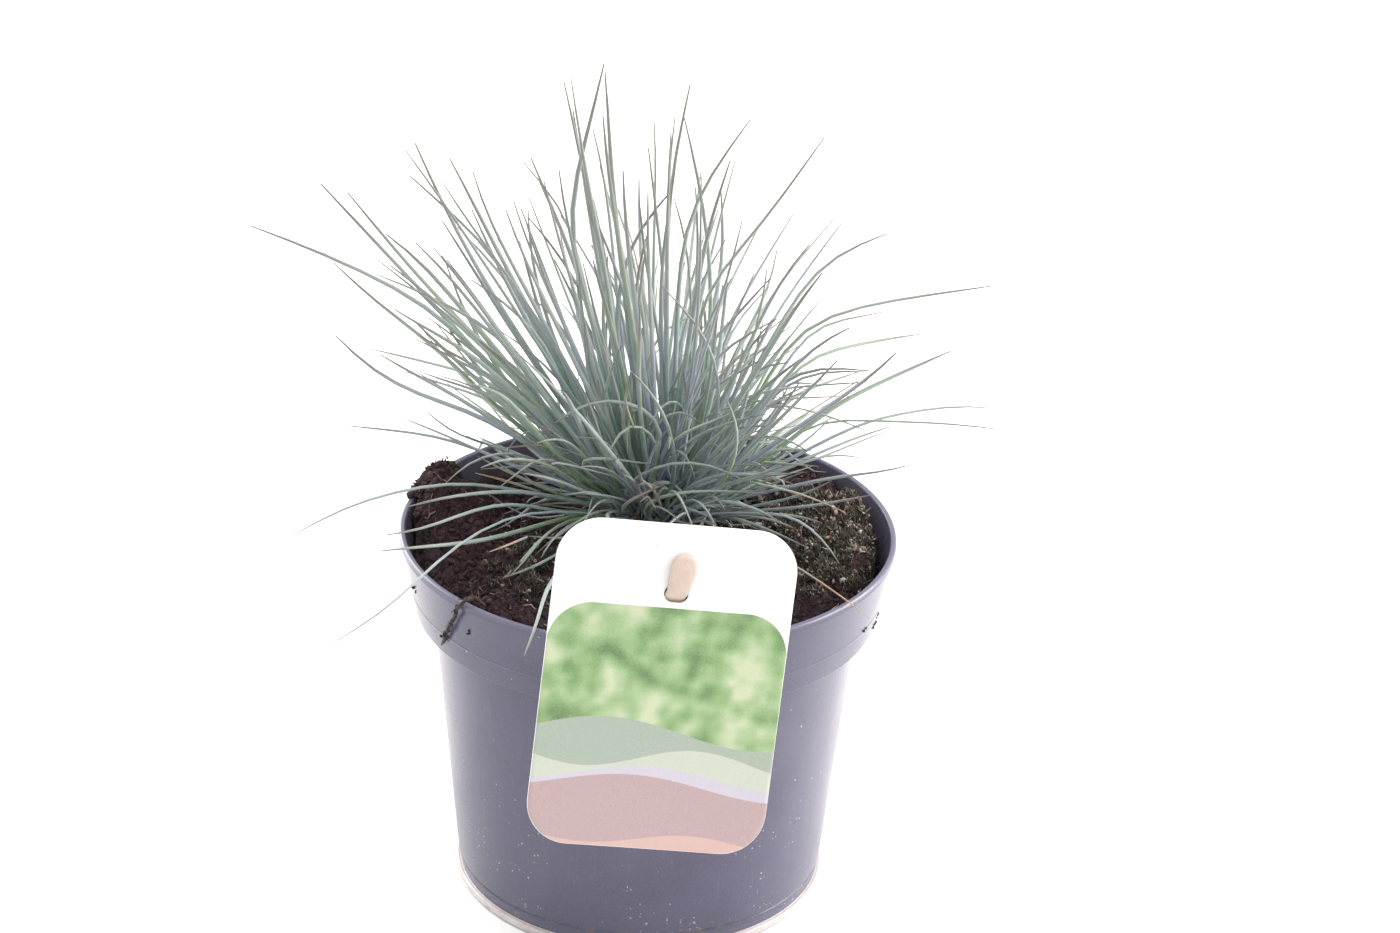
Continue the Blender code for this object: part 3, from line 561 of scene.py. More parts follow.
def potProfile():
    # (radius, height, round) corners from the middle of the underside, up the outside and down to the floor
    top, wall, lip, floor = (potSpec[name] for name in ("height", "wall", "lipDepth", "floor"))
    rim, inside, band = (potSpec[name] for name in ("rimRadius", "rimInside", "bandRadius"))
    shoulder, foot, groove, ring = (potSpec[name] for name in ("shoulderRadius", "footRadius", "footGroove",
                                                               "ringHeight"))
    line = top - potSpec["mouldLine"]
    ringRadius = foot + potSpec["ringReach"]
    return rounded([
        (3.0, 0.0, 0.0), (ringRadius - 0.6, 0.0, 0.3), (ringRadius, 0.6, 0.3), (ringRadius, ring - 0.3, 0.2),
        (ringRadius - 0.25, ring, 0.12), (foot, ring + 0.05, 0.12), (foot + 0.05, ring + 0.6, 0.2),
        (foot + 0.4, groove - 0.5, 0.2), (foot + 0.1, groove, 0.2), (foot + 0.6, groove + 0.4, 0.2),
        (shoulder, bandEdge - 1.2, 0.5), (shoulder + 0.5, bandEdge - 0.5, 0.3),
        (band - 0.3, bandEdge - 0.3, 0.15), (band, bandEdge, 0.15),
        (bandOutside(line - 0.35), line - 0.35, 0.15), (bandOutside(line) + 0.14, line, 0.15),
        (bandOutside(line + 0.35), line + 0.35, 0.15),
        (rim - lipFlare, top - lip, 0.15), (rim, top - lip + 0.3, 0.14), (rim, top - 0.45, 0.3),
        (rim - 0.45, top, 0.3), (inside + 0.3, top, 0.15), (inside, top - 0.3, 0.15),
        (bandInside(top - 3.0), top - 3.0, 0.5), (bandInside(bandEdge + 1.2), bandEdge + 1.2, 0.3),
        (shoulder - wall + 0.5, bandEdge + 0.9, 0.2), (shoulder - wall, bandEdge - 1.4, 0.3),
        (foot - 0.8, floor + 1.0, 0.4), (foot - 1.6, floor, 0.4), (3.0, floor, 0.0),
    ])


def buildPot():
    # the profile turned about the upright axis, and closed by a point at either end
    profile, sides = potProfile(), potSpec["sides"]
    points = polar(fullTurn(sides), profile[:, :1], profile[:, 1:]).reshape(-1, 3)
    points = np.vstack([points, [[0, 0, profile[0, 1]], [0, 0, profile[-1, 1]]]])
    shape = (points, *tubeFaces(len(profile), sides))
    pot = makePiece("nurseryPot", shape, potPlastic(), ["pot"], sharp=potSpec["sharp"])

    # drain holes: upright bars through the floor, taken away
    holes = potSpec["drainHoles"]
    spots = 2 * np.pi * (np.arange(holes) + 0.5) / holes
    paths = polar(spots[:, None], potSpec["drainCircle"], np.array([[-2.0, 4.0]]))
    radii = np.full((holes, 2), potSpec["drainRadius"])
    bars = addObject("drainBars", makeMesh("drainBars", strands(paths, radii, 32, (1.0, 0.0, 0.0))))
    cut = pot.modifiers.new("drainHoles", "BOOLEAN")
    cut.operation = "DIFFERENCE"
    cut.object = bars
    bpy.context.view_layer.update()
    drilled = bpy.data.meshes.new_from_object(pot.evaluated_get(bpy.context.evaluated_depsgraph_get()))
    drilled.set_sharp_from_angle(angle=math.radians(potSpec["sharp"]))
    pot.modifiers.clear()
    pot.data = drilled
    bpy.data.objects.remove(bars)
    print("pot:", len(pot.data.polygons), "faces")


def potPlastic():
    paint = newMaterial("potPlastic")
    top, groove, ring = potSpec["height"], potSpec["footGroove"], potSpec["ringHeight"]
    height = paint.times(paint.part(paint.place, "Z"), 1000.0)    # in mm
    patches = paint.patches(38.0, "Broad")
    paint.colour = paint.blend(patches, *potSpec["plastic"])
    paint.cover((0.15, 0.145, 0.2), paint.between(paint.noise(2600.0, 1.0), 0.3, 0.7, 0.0, 0.16))
    # the lip's top is painted paler: a little wear, and a painted highlight where the light falls on it
    paint.cover((0.18, 0.175, 0.24), paint.between(height, top - 1.3, top - 0.2, 0.0, 0.5))
    # upright scuffs from nesting with other pots
    scuffs = paint.noise(1.0, stretch=(900.0, 900.0, 40.0))
    paint.cover((0.16, 0.155, 0.205), paint.between(scuffs, 0.6, 0.78, 0.0, 0.22))
    # peat dust: rare brown grit all over, and white and brown dust in clusters towards the foot
    cluster = paint.between(paint.noise(75.0, 2.0), 0.46, 0.62)
    near = paint.times(paint.between(height, potSpec["dustBelow"], 8.0), cluster)
    share = paint.maths("MULTIPLY_ADD", near, 0.2, 0.022)
    paint.cover(potSpec["grit"], paint.specks(620.0, share, 0.4), 0.8)
    share = paint.maths("MULTIPLY_ADD", near, 0.4, 0.005)
    paint.cover(potSpec["dust"], paint.specks(1150.0, share, 0.38), 0.8)
    # brown dirt in the groove
    stain = [paint.between(height, groove + 1.0, groove + 0.3),
             paint.between(height, groove - 1.1, groove - 0.2)]
    paint.cover((0.2, 0.12, 0.085), *stain, paint.between(paint.noise(210.0), 0.48, 0.62), 0.4)
    # peat smudges outside; inside, the wall is painted paler, a painted lift of its shade, with brown smears
    # towards the peat
    paint.cover((0.10, 0.062, 0.052), paint.specks(150.0, 0.035, 0.3), 0.6)
    flat = paint.vectors("MULTIPLY", {0: paint.place, 1: (1000.0, 1000.0, 0.0)})
    out = paint.vectors("LENGTH", {0: flat}, "Value")
    slant = paint.times(paint.maths("SUBTRACT", height, bandEdge), bandSlope)
    band = potSpec["bandRadius"]
    inner = paint.times(paint.between(paint.maths("SUBTRACT", out, slant), band - 0.4, band - 0.8),
                        paint.between(height, bandEdge + 0.9, bandEdge + 1.5),
                        paint.between(height, top - 0.4, top - 1.6))
    paint.cover((0.14, 0.13, 0.16), inner, 0.5)
    paint.cover((0.075, 0.050, 0.046), inner, paint.between(height, top - 1.0, top - 7.0),
                paint.between(paint.noise(150.0), 0.46, 0.6), 0.65)
    # the painted lift is strongest in front of the heap, in the hollow's deep shade
    paint.cover((0.10, 0.076, 0.098), inner, paint.between(paint.part(paint.place, "X"), -0.038, -0.050),
                paint.between(paint.part(paint.place, "Y"), 0.022, 0.012),
                paint.between(paint.noise(260.0), 0.3, 0.6, 0.55, 0.95))
    # the ring under the foot is bleached and dusty, with dirt and a painted shadow line in the ledge above it
    bleached = paint.blend(paint.patches(150.0), *potSpec["ring"])
    bleached = paint.blend(paint.between(height, 0.55, 0.25), bleached, (0.28, 0.26, 0.26))
    mud = paint.times(paint.specks(420.0, 0.22, 0.5), 0.6)
    bleached = paint.blend(mud, bleached, (0.22, 0.16, 0.13))
    # just above the ring the plastic is painted paler, a painted lift of the shade there
    paint.cover((0.16, 0.15, 0.2), paint.between(height, ring + 3.0, ring + 0.4, 0.0, 0.3))
    paint.cover(bleached, paint.between(height, ring + 0.3, ring + 0.2))
    # the dark line over the ring: dirt, and a painted shadow of the gap between the ring and the wall
    stepDirtAndShade = [paint.between(height, ring + 0.55, ring + 0.4), paint.between(height, ring + 0.2, ring + 0.3)]
    paint.cover((0.10, 0.075, 0.065), *stepDirtAndShade, paint.between(paint.noise(130.0), 0.45, 0.6), 0.6)
    relief = paint.weighed((paint.pits(1500.0), 0.07), (paint.noise(30.0, 1.0), 1.0))
    return paint.finish(paint.between(patches, 0.0, 1.0, 0.22, 0.265), relief, 0.0005, 0.4)


# peat

soilSpec = {
    "level": 89.8,
    "crown": (2.0, 19.0),          # where the clump stands
    "crownRise": 7.0,
    "crownSpread": 34.0,
    "heapRise": 16.0,              # peat heaped over the left wall
    "heapAzimuth": 163.0,
    "heapSpread": 15.0,
    "spillTurn": -3.5,             # it spills over the lip this many degrees away from its middle
    "marginStart": 36.0,
    "marginWidth": 22.0,
    "shelfRise": 7.0,              # the surface climbs towards the right and back wall
    "shelfAzimuth": 30.0,
    "shelfSpread": 55.0,
    "shelfStart": 26.0,
    "shelfWidth": 26.0,
    "hollowSag": 3.0,              # in front of the heap it sinks, and slumps towards the wall
    "hollowFall": 4.5,
    "hollowWidth": 10.0,
    "hollowAzimuth": 196.0,
    "hollowSpread": 18.0,
    "trenchWidth": 2.0,            # and there is a narrow gap along the right wall
    "trenchAzimuth": 0.0,
    "trenchSpread": 28.0,
    "clodPlace": (-43.0, -39.0),
    "clodWidth": 9.0,
    "clodRise": 6.5,
    "lumpRise": 0.8,               # long low lumps, but none this close to the crown
    "levelCrown": 16.0,
    "relief": ((1.3, 10.0, 9, 3), (0.8, 4.0, 14, 4), (0.45, 1.9, 20, 5)),    # height, length, count, seed
    "pits": (2.6, 5.5, 16, 7),
    "mossRise": 1.1,
    "gap": 0.4,
    "rings": 130,
    "spokes": 460,
    "wall": ((54.3, -2.2), (51.0, -37.0), (47.0, -75.8), (45.7, -77.0)),     # radius, height off bandEdge
    "colours": ((0.0, (0.032, 0.021, 0.027)), (0.45, (0.050, 0.029, 0.035)),
                (0.8, (0.066, 0.036, 0.041)), (1.0, (0.084, 0.048, 0.051))),
    # the colour of the painted shade towards the front wall
    "paintedFrontShade": (0.022, 0.012, 0.018),
}


def aroundFrom(x, y, azimuth):
    # degrees between a point's bearing and an azimuth, from 0 to 180
    return np.abs((np.degrees(np.arctan2(y, x)) - azimuth + 180.0) % 360.0 - 180.0)


def shareOf(name, x, y):
    # how much of the heap, the shelf or the trench there is on a point's bearing
    return bell(aroundFrom(x, y, soilSpec[name + "Azimuth"]), soilSpec[name + "Spread"])


def hollowShare(x, y):
    # exp(-(degrees / spread)^4): flat along the hollow and steep at both ends
    return bell(aroundFrom(x, y, soilSpec["hollowAzimuth"]) ** 2, soilSpec["hollowSpread"] ** 2)


def distanceFrom(name, x, y):
    # how far a point is from the crown or from the clod
    return np.hypot(x - soilSpec[name][0], y - soilSpec[name][1])


def soilHeight(x, y):
    # the level, plus the crown's bell, the heap at the left wall and the shelf at the right one, less the
    # hollow and its slump, plus the clod and long low lumps that fade out under the crown
    spec = soilSpec
    radius, fromCrown = np.hypot(x, y), distanceFrom("crown", x, y)
    margin = np.clip((radius - spec["marginStart"]) / spec["marginWidth"], 0.0, 1.0)
    shelf = shareOf("shelf", x, y) * np.clip((radius - spec["shelfStart"]) / spec["shelfWidth"], 0.0, 1.0)
    lump = np.sin(0.41 * x + 1.3) * np.sin(0.37 * y + 0.4) + 0.6 * np.sin(0.76 * x - 0.62 * y)
    slump = hollowShare(x, y) * ease(spec["hollowWidth"], 1.0, soilEdge(x, y) - radius)
    return (spec["level"] + spec["crownRise"] * bell(fromCrown, spec["crownSpread"])
            + spec["heapRise"] * (margin * shareOf("heap", x, y)) + spec["shelfRise"] * shelf
            - spec["hollowSag"] * (margin * hollowShare(x, y)) - spec["hollowFall"] * slump
            + spec["clodRise"] * bell(distanceFrom("clodPlace", x, y), spec["clodWidth"])
            + spec["lumpRise"] * lump * (1.0 - bell(fromCrown, spec["levelCrown"])))


def soilRelief(x, y):
    # crumbly relief on top of that, in three sizes and softer under the crown, and pits where waves peak
    rough = sum(rise * waves(x, y, *kind) for rise, *kind in soilSpec["relief"])
    depth, *kind = soilSpec["pits"]
    pits = depth * ease(0.55, 1.3, waves(x, y, *kind))
    soft = 1.0 - 0.65 * bell(distanceFrom("crown", x, y), 20.0)
    return (rough - pits) * soft + soilSpec["mossRise"] * mossShare(x, y)


def mossShare(x, y):
    # how mossy the surface is: the right side and a patch left of the card, in cushions
    right = ease(10.0, 28.0, x) * ease(34.0, 22.0, y) * ease(-30.0, -14.0, y)
    patch = 0.9 * bell(np.hypot(x + 31.0, 0.65 * (y + 10.0)), 12.0)
    most = np.maximum(right, patch)
    cushions = 0.85 * waves(x, y, 6.5, 10, 6)
    return np.clip(most + cushions * ease(0.05, 0.5, most) - 0.25, 0.0, 1.0)


def soilEdge(x, y):
    # the peat's own outer radius: the wall's inside at the peat's height, less a gap and the trench
    spec = soilSpec
    level = (spec["level"] + spec["shelfRise"] * shareOf("shelf", x, y)
             + spec["heapRise"] * shareOf("heap", x, y)
             - (spec["hollowSag"] + spec["hollowFall"]) * hollowShare(x, y))
    level = np.minimum(level, potSpec["height"] - 2.5)
    return bandInside(level) - spec["gap"] - spec["trenchWidth"] * shareOf("trench", x, y)


def peatTop(x, y):
    # the surface with its relief, which fades out at the edge
    return soilHeight(x, y) + soilRelief(x, y) * ease(0.0, 4.0, soilEdge(x, y) + 1.5 - np.hypot(x, y))


def buildRootBall():
    # the top: rings of a disc out to the edge, each at the peat's own height.
    # Below it: rings down the pot's inside wall, and a flat bottom.
    spec = soilSpec
    turn = fullTurn(spec["spokes"])
    cosine, sine = np.cos(turn), np.sin(turn)
    edge = soilEdge(cosine, sine) + 0.5 * waves(40 * cosine, 40 * sine, 6.0, 9, 8) - 0.3
    share = (np.arange(1, spec["rings"] + 1) / spec["rings"])[:, None]
    top = polar(turn, share * edge)
    level = peatTop(top[..., 0], top[..., 1]) - 2.2 * ease(0.955, 1.0, share)
    top[..., 2] = np.maximum(level, bandEdge + 1.3)
    wall = [(bandInside(bandEdge + 0.4) - 0.4, 2.3), *spec["wall"]]
    radius, height = np.array(wall).T[..., None]
    side = polar(turn, np.minimum(radius, edge), np.minimum(bandEdge + height, top[-1, :, 2] - 0.8))
    rings = np.concatenate([top, side])[::-1]
    bottom, middle = bandEdge + height[-1, 0], peatTop(np.zeros(1), np.zeros(1))[0]
    points = np.vstack([rings.reshape(-1, 3), [[0.0, 0.0, bottom], [0.0, 0.0, middle]]])
    x, y = points[:, 0], points[:, 1]
    # the hollow's slumped floor by the wall: the peat there is painted paler, a painted lift of its deep
    # shade
    paintedHollowLift = hollowShare(x, y) * ease(12.0, 2.0, soilEdge(x, y) - np.hypot(x, y))
    shape = (points, *tubeFaces(*rings.shape[:2]))
    makePiece("rootBall", shape, peat(), ["soil"], {"moss": mossShare(x, y), "paintedHollowLift": paintedHollowLift})
    print("peat: root ball", len(shape[1]), "quads")


def scatter(count, dice, weight):
    # points of the pot's mouth kept with the chance that weight(x, y) gives, thinned from a bigger draw
    tries = count * 8
    radius = bandInside(potSpec["height"]) * np.sqrt(dice.random(tries))
    bearing = 2 * np.pi * dice.random(tries)
    x, y = radius * np.cos(bearing), radius * np.sin(bearing)
    kept = (dice.random(tries) < weight(x, y)) & (np.hypot(x, y) < soilEdge(x, y) - 0.6)
    return x[kept][:count], y[kept][:count]


def drawnIn(paths, gap):
    # points of paths that lie past the peat's edge, less a gap, are drawn in to it
    radius = np.hypot(paths[..., 0], paths[..., 1])
    limit = soilEdge(paths[..., 0], paths[..., 1]) - gap
    paths[..., :2] *= np.minimum(1.0, limit / np.maximum(radius, 1e-6))[..., None]
    return paths


def spillBearings(dice, count, spread, least, most):
    # bearings on the lip around the place where the heap spills over it
    turn = np.clip(dice.normal(soilSpec["spillTurn"], spread, count), least, most)
    return np.radians(soilSpec["heapAzimuth"] + turn)


def makeTinted(name, shape, count, dice, material):
    # a peat piece of `count` like parts, each with its own random tint
    makePiece(name, shape, material, marks={"tint": np.repeat(dice.random(count), shape[3])})


crumbSpec = {
    "count": 8700,
    "sizes": (0.17, 1.15, 2.3),    # least and greatest, and the power by which large ones are rare
    "lipCount": 900,
    "lipSizes": (0.28, 1.2, 1.6),
    "clinging": ((-8.5, 81.5), (-10.5, 80.6), (-24.0, 85.6), (-13.5, 80.6), (-161.0, 90.8), (-134.0, 91.2)),
    "clusterCount": 4,             # crumbs in each cluster
    "clusterSizes": (0.2, 0.42),
    "pile": 5.4,                   # how high they pile up on the lip
    "rough": 0.42,
    "flat": 0.4,
    "colours": ((0.0, (0.032, 0.021, 0.027)), (0.45, (0.048, 0.028, 0.034)),
                (0.85, (0.068, 0.038, 0.042)), (0.98, (0.11, 0.070, 0.066))),
}


def buildCrumbs():
    # uneven balls scattered over the surface, most of them by the heap and on the clod
    spec = crumbSpec
    dice = np.random.default_rng(11)
    x, y = scatter(spec["count"], dice, lambda x, y:
                   0.45 + 0.55 * bell(aroundFrom(x, y, soilSpec["heapAzimuth"]), 30.0)
                   * ease(36.0, 56.0, np.hypot(x, y))
                   + 0.4 * bell(distanceFrom("clodPlace", x, y), soilSpec["clodWidth"]))
    sizes = mostlySmall(dice, len(x), *spec["sizes"])
    spots = np.column_stack([x, y, peatTop(x, y) + sizes * 0.15])
    # crumbs that lie on the lip where the heap spills over it, piled up towards the heap's middle
    count = spec["lipCount"]
    bearing = spillBearings(dice, count, 5.0, -14.0, 5.0)
    radius = dice.uniform(60.5, 64.8, count)
    more = mostlySmall(dice, count, *spec["lipSizes"])
    lip = polar(bearing, radius, potSpec["height"] + 0.1 + more * 0.4)
    aside = np.degrees(bearing) - soilSpec["heapAzimuth"] - soilSpec["spillTurn"]
    lip[:, 2] += spec["pile"] * dice.random(count) * (bell(aside, 8.0) * ease(65.6, 61.0, radius))
    # and small clusters that cling to the band
    azimuth, height = np.repeat(np.array(spec["clinging"]).T, spec["clusterCount"], axis=1)
    height = height + dice.normal(0.0, 0.5, len(height))
    bearing = np.radians(azimuth + dice.normal(0.0, 0.45, len(azimuth)))
    stuck = polar(bearing, bandOutside(height) + 0.1, height)
    spots = np.vstack([spots, lip, stuck])
    sizes = np.concatenate([sizes, more, dice.uniform(*spec["clusterSizes"], len(stuck))])
    shape = lumps(spots, sizes, dice, spec["rough"], spec["flat"])
    makeTinted("peatCrumbs", shape, len(spots), dice, crumb())
    print("peat: crumbs", len(spots))


fibreSpec = {
    "count": 5050,
    "lengths": (1.2, 8.0, 1.7),
    "lipCount": 150,
    "lipLengths": (0.8, 2.6),
    "pile": 4.4,
    "points": 5,
    "bend": 0.5,
    "colours": ((0.0, (0.034, 0.021, 0.025)), (0.6, (0.072, 0.041, 0.040)),
                (0.9, (0.125, 0.078, 0.066)), (1.0, (0.36, 0.28, 0.21))),
}


def buildFibres():
    # peat fibres and straw bits that lie on the surface, each rising and dipping with it
    spec = fibreSpec
    dice = np.random.default_rng(12)
    x, y = scatter(spec["count"], dice, lambda x, y:
                   0.3 + 0.5 * bell(distanceFrom("clodPlace", x, y), 11.0)
                   + 0.3 * bell(aroundFrom(x, y, soilSpec["heapAzimuth"]), 25.0))
    count = len(x)
    ways = polar(2 * np.pi * dice.random(count), 1.0, 0.25 * dice.normal(size=count))
    lengths = mostlySmall(dice, count, *spec["lengths"])
    starts = np.column_stack([x, y, np.zeros(count)])
    paths = drawnIn(wander(starts, ways, lengths, spec["points"], spec["bend"], dice), 0.6)
    paths[..., 2] = peatTop(paths[..., 0], paths[..., 1]) + 0.15 + np.abs(paths[..., 2]) * 0.5
    # and fluff that stands out of the heap on the lip
    fluff = spec["lipCount"]
    bearing = spillBearings(dice, fluff, 4.5, -12.0, 4.0)
    reach = dice.uniform(62.0, 64.2, fluff)
    rise = potSpec["height"] + 0.3 + spec["pile"] * dice.random(fluff) * ease(66.0, 61.0, reach)
    ways = np.array([-0.5, 0.1, 0.8]) + dice.normal(0.0, 0.5, (fluff, 3))
    lengths = dice.uniform(*spec["lipLengths"], fluff)
    tufts = wander(polar(bearing, reach, rise), ways, lengths, spec["points"], spec["bend"], dice)
    paths = np.concatenate([paths, tufts])
    count += fluff
    radii = (0.07 + 0.16 * dice.random((count, 1)) ** 2) * np.linspace(1.0, 0.6, spec["points"])[None]
    makeTinted("peatFibres", strands(paths, radii, 3), count, dice, fibre())
    print("peat: fibres", count)


mossSpec = {
    "tufts": 1350,
    "sprigs": 8,                   # in each tuft
    "tuftSpread": 0.7,
    "leans": (0.2, 1.2),
    "lengths": (0.9, 2.9),
    "bend": 0.35,
    "radii": (0.12, 0.28),
    "shape": (0.9, 1.0, 0.35),     # of a sprig's radius at its foot, middle and end
    "colours": ((0.0, (0.044, 0.043, 0.036)), (0.55, (0.096, 0.098, 0.070)),
                (0.88, (0.20, 0.19, 0.145)), (1.0, (0.42, 0.36, 0.30))),
}


def buildMoss():
    # each tuft is a few leaning sprigs, thick at the foot and pointed
    spec = mossSpec
    dice = np.random.default_rng(13)
    x, y = scatter(spec["tufts"], dice, lambda x, y: mossShare(x, y) ** 1.5)
    x, y = (np.repeat(value, spec["sprigs"]) for value in (x, y))
    x, y = (value + dice.normal(0.0, spec["tuftSpread"], len(value)) for value in (x, y))
    inside = np.hypot(x, y) < soilEdge(x, y) - 0.7
    x, y = x[inside], y[inside]
    count = len(x)
    ways = polar(2 * np.pi * dice.random(count), dice.uniform(*spec["leans"], count), 1.0)
    starts = np.column_stack([x, y, peatTop(x, y) - 0.1])
    lengths = dice.uniform(*spec["lengths"], count)
    paths = wander(starts, ways, lengths, len(spec["shape"]), spec["bend"], dice)
    radii = dice.uniform(*spec["radii"], (count, 1)) * np.array([spec["shape"]])
    rods = strands(paths, radii, 3, np.column_stack([-ways[:, 1], ways[:, 0], np.zeros(count)]))
    makeTinted("mossTufts", rods, count, dice, moss())
    print("peat: moss sprigs", count)


gritSpec = {
    "flakes": 900,
    "sizes": (0.15, 0.65, 1.8),
    "rough": 0.45,
    "flat": 0.75,
    "straws": 260,
    "lengths": (1.0, 4.5, 1.6),
    "bend": 0.3,
    "radii": (0.10, 0.26),
    "shape": (0.7, 1.0, 1.0, 0.8, 0.4),
    "flatness": 0.45,
    "colours": ((0.0, (0.20, 0.135, 0.115)), (0.45, (0.36, 0.26, 0.22)),
                (0.8, (0.50, 0.44, 0.36)), (1.0, (0.68, 0.64, 0.57))),
}


def buildGrit():
    # pale bits in the moss: angular flakes, and thin straws and husks that lean out of it
    spec = gritSpec
    dice = np.random.default_rng(14)
    x, y = scatter(spec["flakes"], dice, lambda x, y: mossShare(x, y) ** 1.4)
    sizes = mostlySmall(dice, len(x), *spec["sizes"])
    spots = np.column_stack([x, y, peatTop(x, y) + 0.5 + dice.random(len(x)) * 0.9])
    flakes = lumps(spots, sizes, dice, spec["rough"], spec["flat"])
    flakeTint = np.repeat(dice.random(len(x)), flakes[3])
    x, y = scatter(spec["straws"], dice, lambda x, y: 0.04 + 0.96 * mossShare(x, y))
    count = len(x)
    ways = polar(2 * np.pi * dice.random(count), 1.0, dice.uniform(-0.1, 0.6, count))
    starts = np.column_stack([x, y, peatTop(x, y) + 0.7])
    lengths = mostlySmall(dice, count, *spec["lengths"])
    paths = drawnIn(wander(starts, ways, lengths, len(spec["shape"]), spec["bend"], dice), 0.4)
    paths[..., 2] = np.maximum(paths[..., 2], peatTop(paths[..., 0], paths[..., 1]) + 0.5)
    radii = dice.uniform(*spec["radii"], (count, 1)) * np.array([spec["shape"]])
    straws = strands(paths, radii, 4, squeeze=spec["flatness"])
    shape = joined(flakes, straws)
    tint = np.concatenate([flakeTint, np.repeat(dice.random(count), straws[3])])
    makePiece("paleGrit", shape, grit(), marks={"tint": tint})
    print("peat: grit", len(shape[0]), "points")


def paintedFrontShade(paint):
    # peat towards the front wall is painted darker, a painted shade
    front = paint.part(paint.place, "Y")
    paint.cover(soilSpec["paintedFrontShade"], paint.between(front, -0.012, -0.032, 0.0, 0.55))


def peat():
    paint = newMaterial("peat")
    paint.colour = paint.ramp(paint.patches(170.0), soilSpec["colours"])
    threads = paint.noise(1500.0, 4.0, 0.7, 2.0, stretch=(1.0, 1.0, 2.4))
    paint.cover((0.088, 0.054, 0.052), paint.between(threads, 0.5, 0.72, 0.0, 0.6))
    flat = paint.vectors("MULTIPLY", {0: paint.place, 1: (1000.0, 1000.0, 0.0)})
    fromClod = paint.vectors("DISTANCE", {0: flat, 1: (*soilSpec["clodPlace"], 0.0)}, "Value")
    paint.cover((0.092, 0.050, 0.050), paint.between(fromClod, soilSpec["clodWidth"], 4.0, 0.0, 0.7))
    # painted shade towards the front wall
    paintedFrontShade(paint)
    # painted light: the slumped hollow is lifted paler out of its deep shade
    paint.cover((0.088, 0.068, 0.084), paint.mark("paintedHollowLift"), 0.8)
    paint.cover((0.066, 0.066, 0.045), paint.mark("moss"), paint.patches(120.0), 0.8)
    grains = paint.add("TexVoronoi", {"Vector": paint.place, "Scale": 900.0}).outputs["Distance"]
    relief = paint.weighed((paint.pits(650.0), 1.0), (grains, -0.5))
    return paint.finish(paint.between(threads, 0.35, 0.7, 0.98, 0.78), relief, 0.0009, 0.9, specular=0.2)


def crumb():
    paint = newMaterial("peatCrumb", crumbSpec["colours"])
    grain = paint.noise(1500.0, 3.0, 0.65)
    paint.cover((0.095, 0.058, 0.054), paint.between(grain, 0.45, 0.7, 0.0, 0.45))
    # painted shade towards the front wall
    paintedFrontShade(paint)
    roughness = paint.between(grain, 0.3, 0.7, 0.98, 0.8)
    return paint.finish(roughness, paint.pits(1400.0), 0.0006, 0.8, specular=0.2)


def fibre():
    paint = newMaterial("peatFibre", fibreSpec["colours"])
    grain = paint.noise(2200.0, 2.0)
    paint.cover((0.02, 0.013, 0.01), paint.between(grain, 0.4, 0.7, 0.0, 0.4))
    # painted shade towards the front wall
    paintedFrontShade(paint)
    return paint.finish(paint.between(grain, 0.3, 0.7, 0.95, 0.7), grain, 0.0002, 0.6, specular=0.2)


def moss():
    paint = newMaterial("mossGreen", mossSpec["colours"])
    grain = paint.noise(1700.0)
    paint.cover((0.070, 0.050, 0.044), paint.between(grain, 0.42, 0.7, 0.0, 0.5))
    # dark patches: painted shade of the hollows between the moss's cushions
    paint.cover((0.038, 0.030, 0.030), paint.patches(95.0), 0.6)
    # painted shade towards the front wall
    paintedFrontShade(paint)
    return paint.finish(paint.between(grain, 0.3, 0.7, 0.9, 0.6), grain, 0.0003, 0.7, specular=0.25)


def grit():
    paint = newMaterial("paleGrit", gritSpec["colours"])
    grain = paint.noise(1900.0)
    paint.cover((0.12, 0.08, 0.05), paint.between(grain, 0.5, 0.75, 0.0, 0.6))
    return paint.finish(paint.between(grain, 0.3, 0.7, 0.9, 0.65), grain, 0.0003, 0.6)


# plant label and its peg

cardSpec = {
    "width": 60.5,
    "height": 84.0,
    "thickness": 0.5,
    "corner": 11.0,
    "edgeRound": 0.14,
    "centre": (5.4, -67.9, 89.9),
    "turn": (-12.3, 6.9, 7.9),           # degrees about X, Y and Z
    "slotSize": (6.1, 4.5),
    "slotCorner": 2.25,
    "slotPlace": (0.7, 24.3),            # across and up from the card's centre
    "bow": 0.35,                         # the card is a little hollow across its width
    "faceRings": 30,
    "spokes": 360,
    "white": ((0.83, 0.83, 0.82), (0.88, 0.88, 0.87)),
}

printSpec = {
    "top": 20.6,                         # the printed field's upper edge, above the card's centre
    "corner": 11.0,
    "edge": 0.06,
    "meadow": ((0.36, (0.10, 0.19, 0.065)), (0.46, (0.19, 0.32, 0.12)),
               (0.56, (0.31, 0.43, 0.22)), (0.66, (0.47, 0.53, 0.34))),
    "bands": (                           # level, swing, pitch, phase and colour, from above
        (-11.5, 3.2, 0.085, 2.6, (0.31, 0.36, 0.30)),
        (-18.5, 2.8, 0.11, 0.4, (0.47, 0.50, 0.42)),
        (-23.0, 2.4, 0.09, 1.6, (0.49, 0.46, 0.53)),
        (-25.4, 2.5, 0.085, 2.0, (0.40, 0.285, 0.29)),
        (-39.5, 1.6, 0.12, 0.2, (0.54, 0.36, 0.33)),
    ),
}


def cardPoint(across, up, out):
    # card coordinates (across to the right, up the card, out towards the reader) to the scene's, in mm
    local = np.stack(np.broadcast_arrays(across, -np.asarray(out, float), up), axis=-1)
    return local @ turnMatrix(cardSpec["turn"]).T + np.array(cardSpec["centre"])


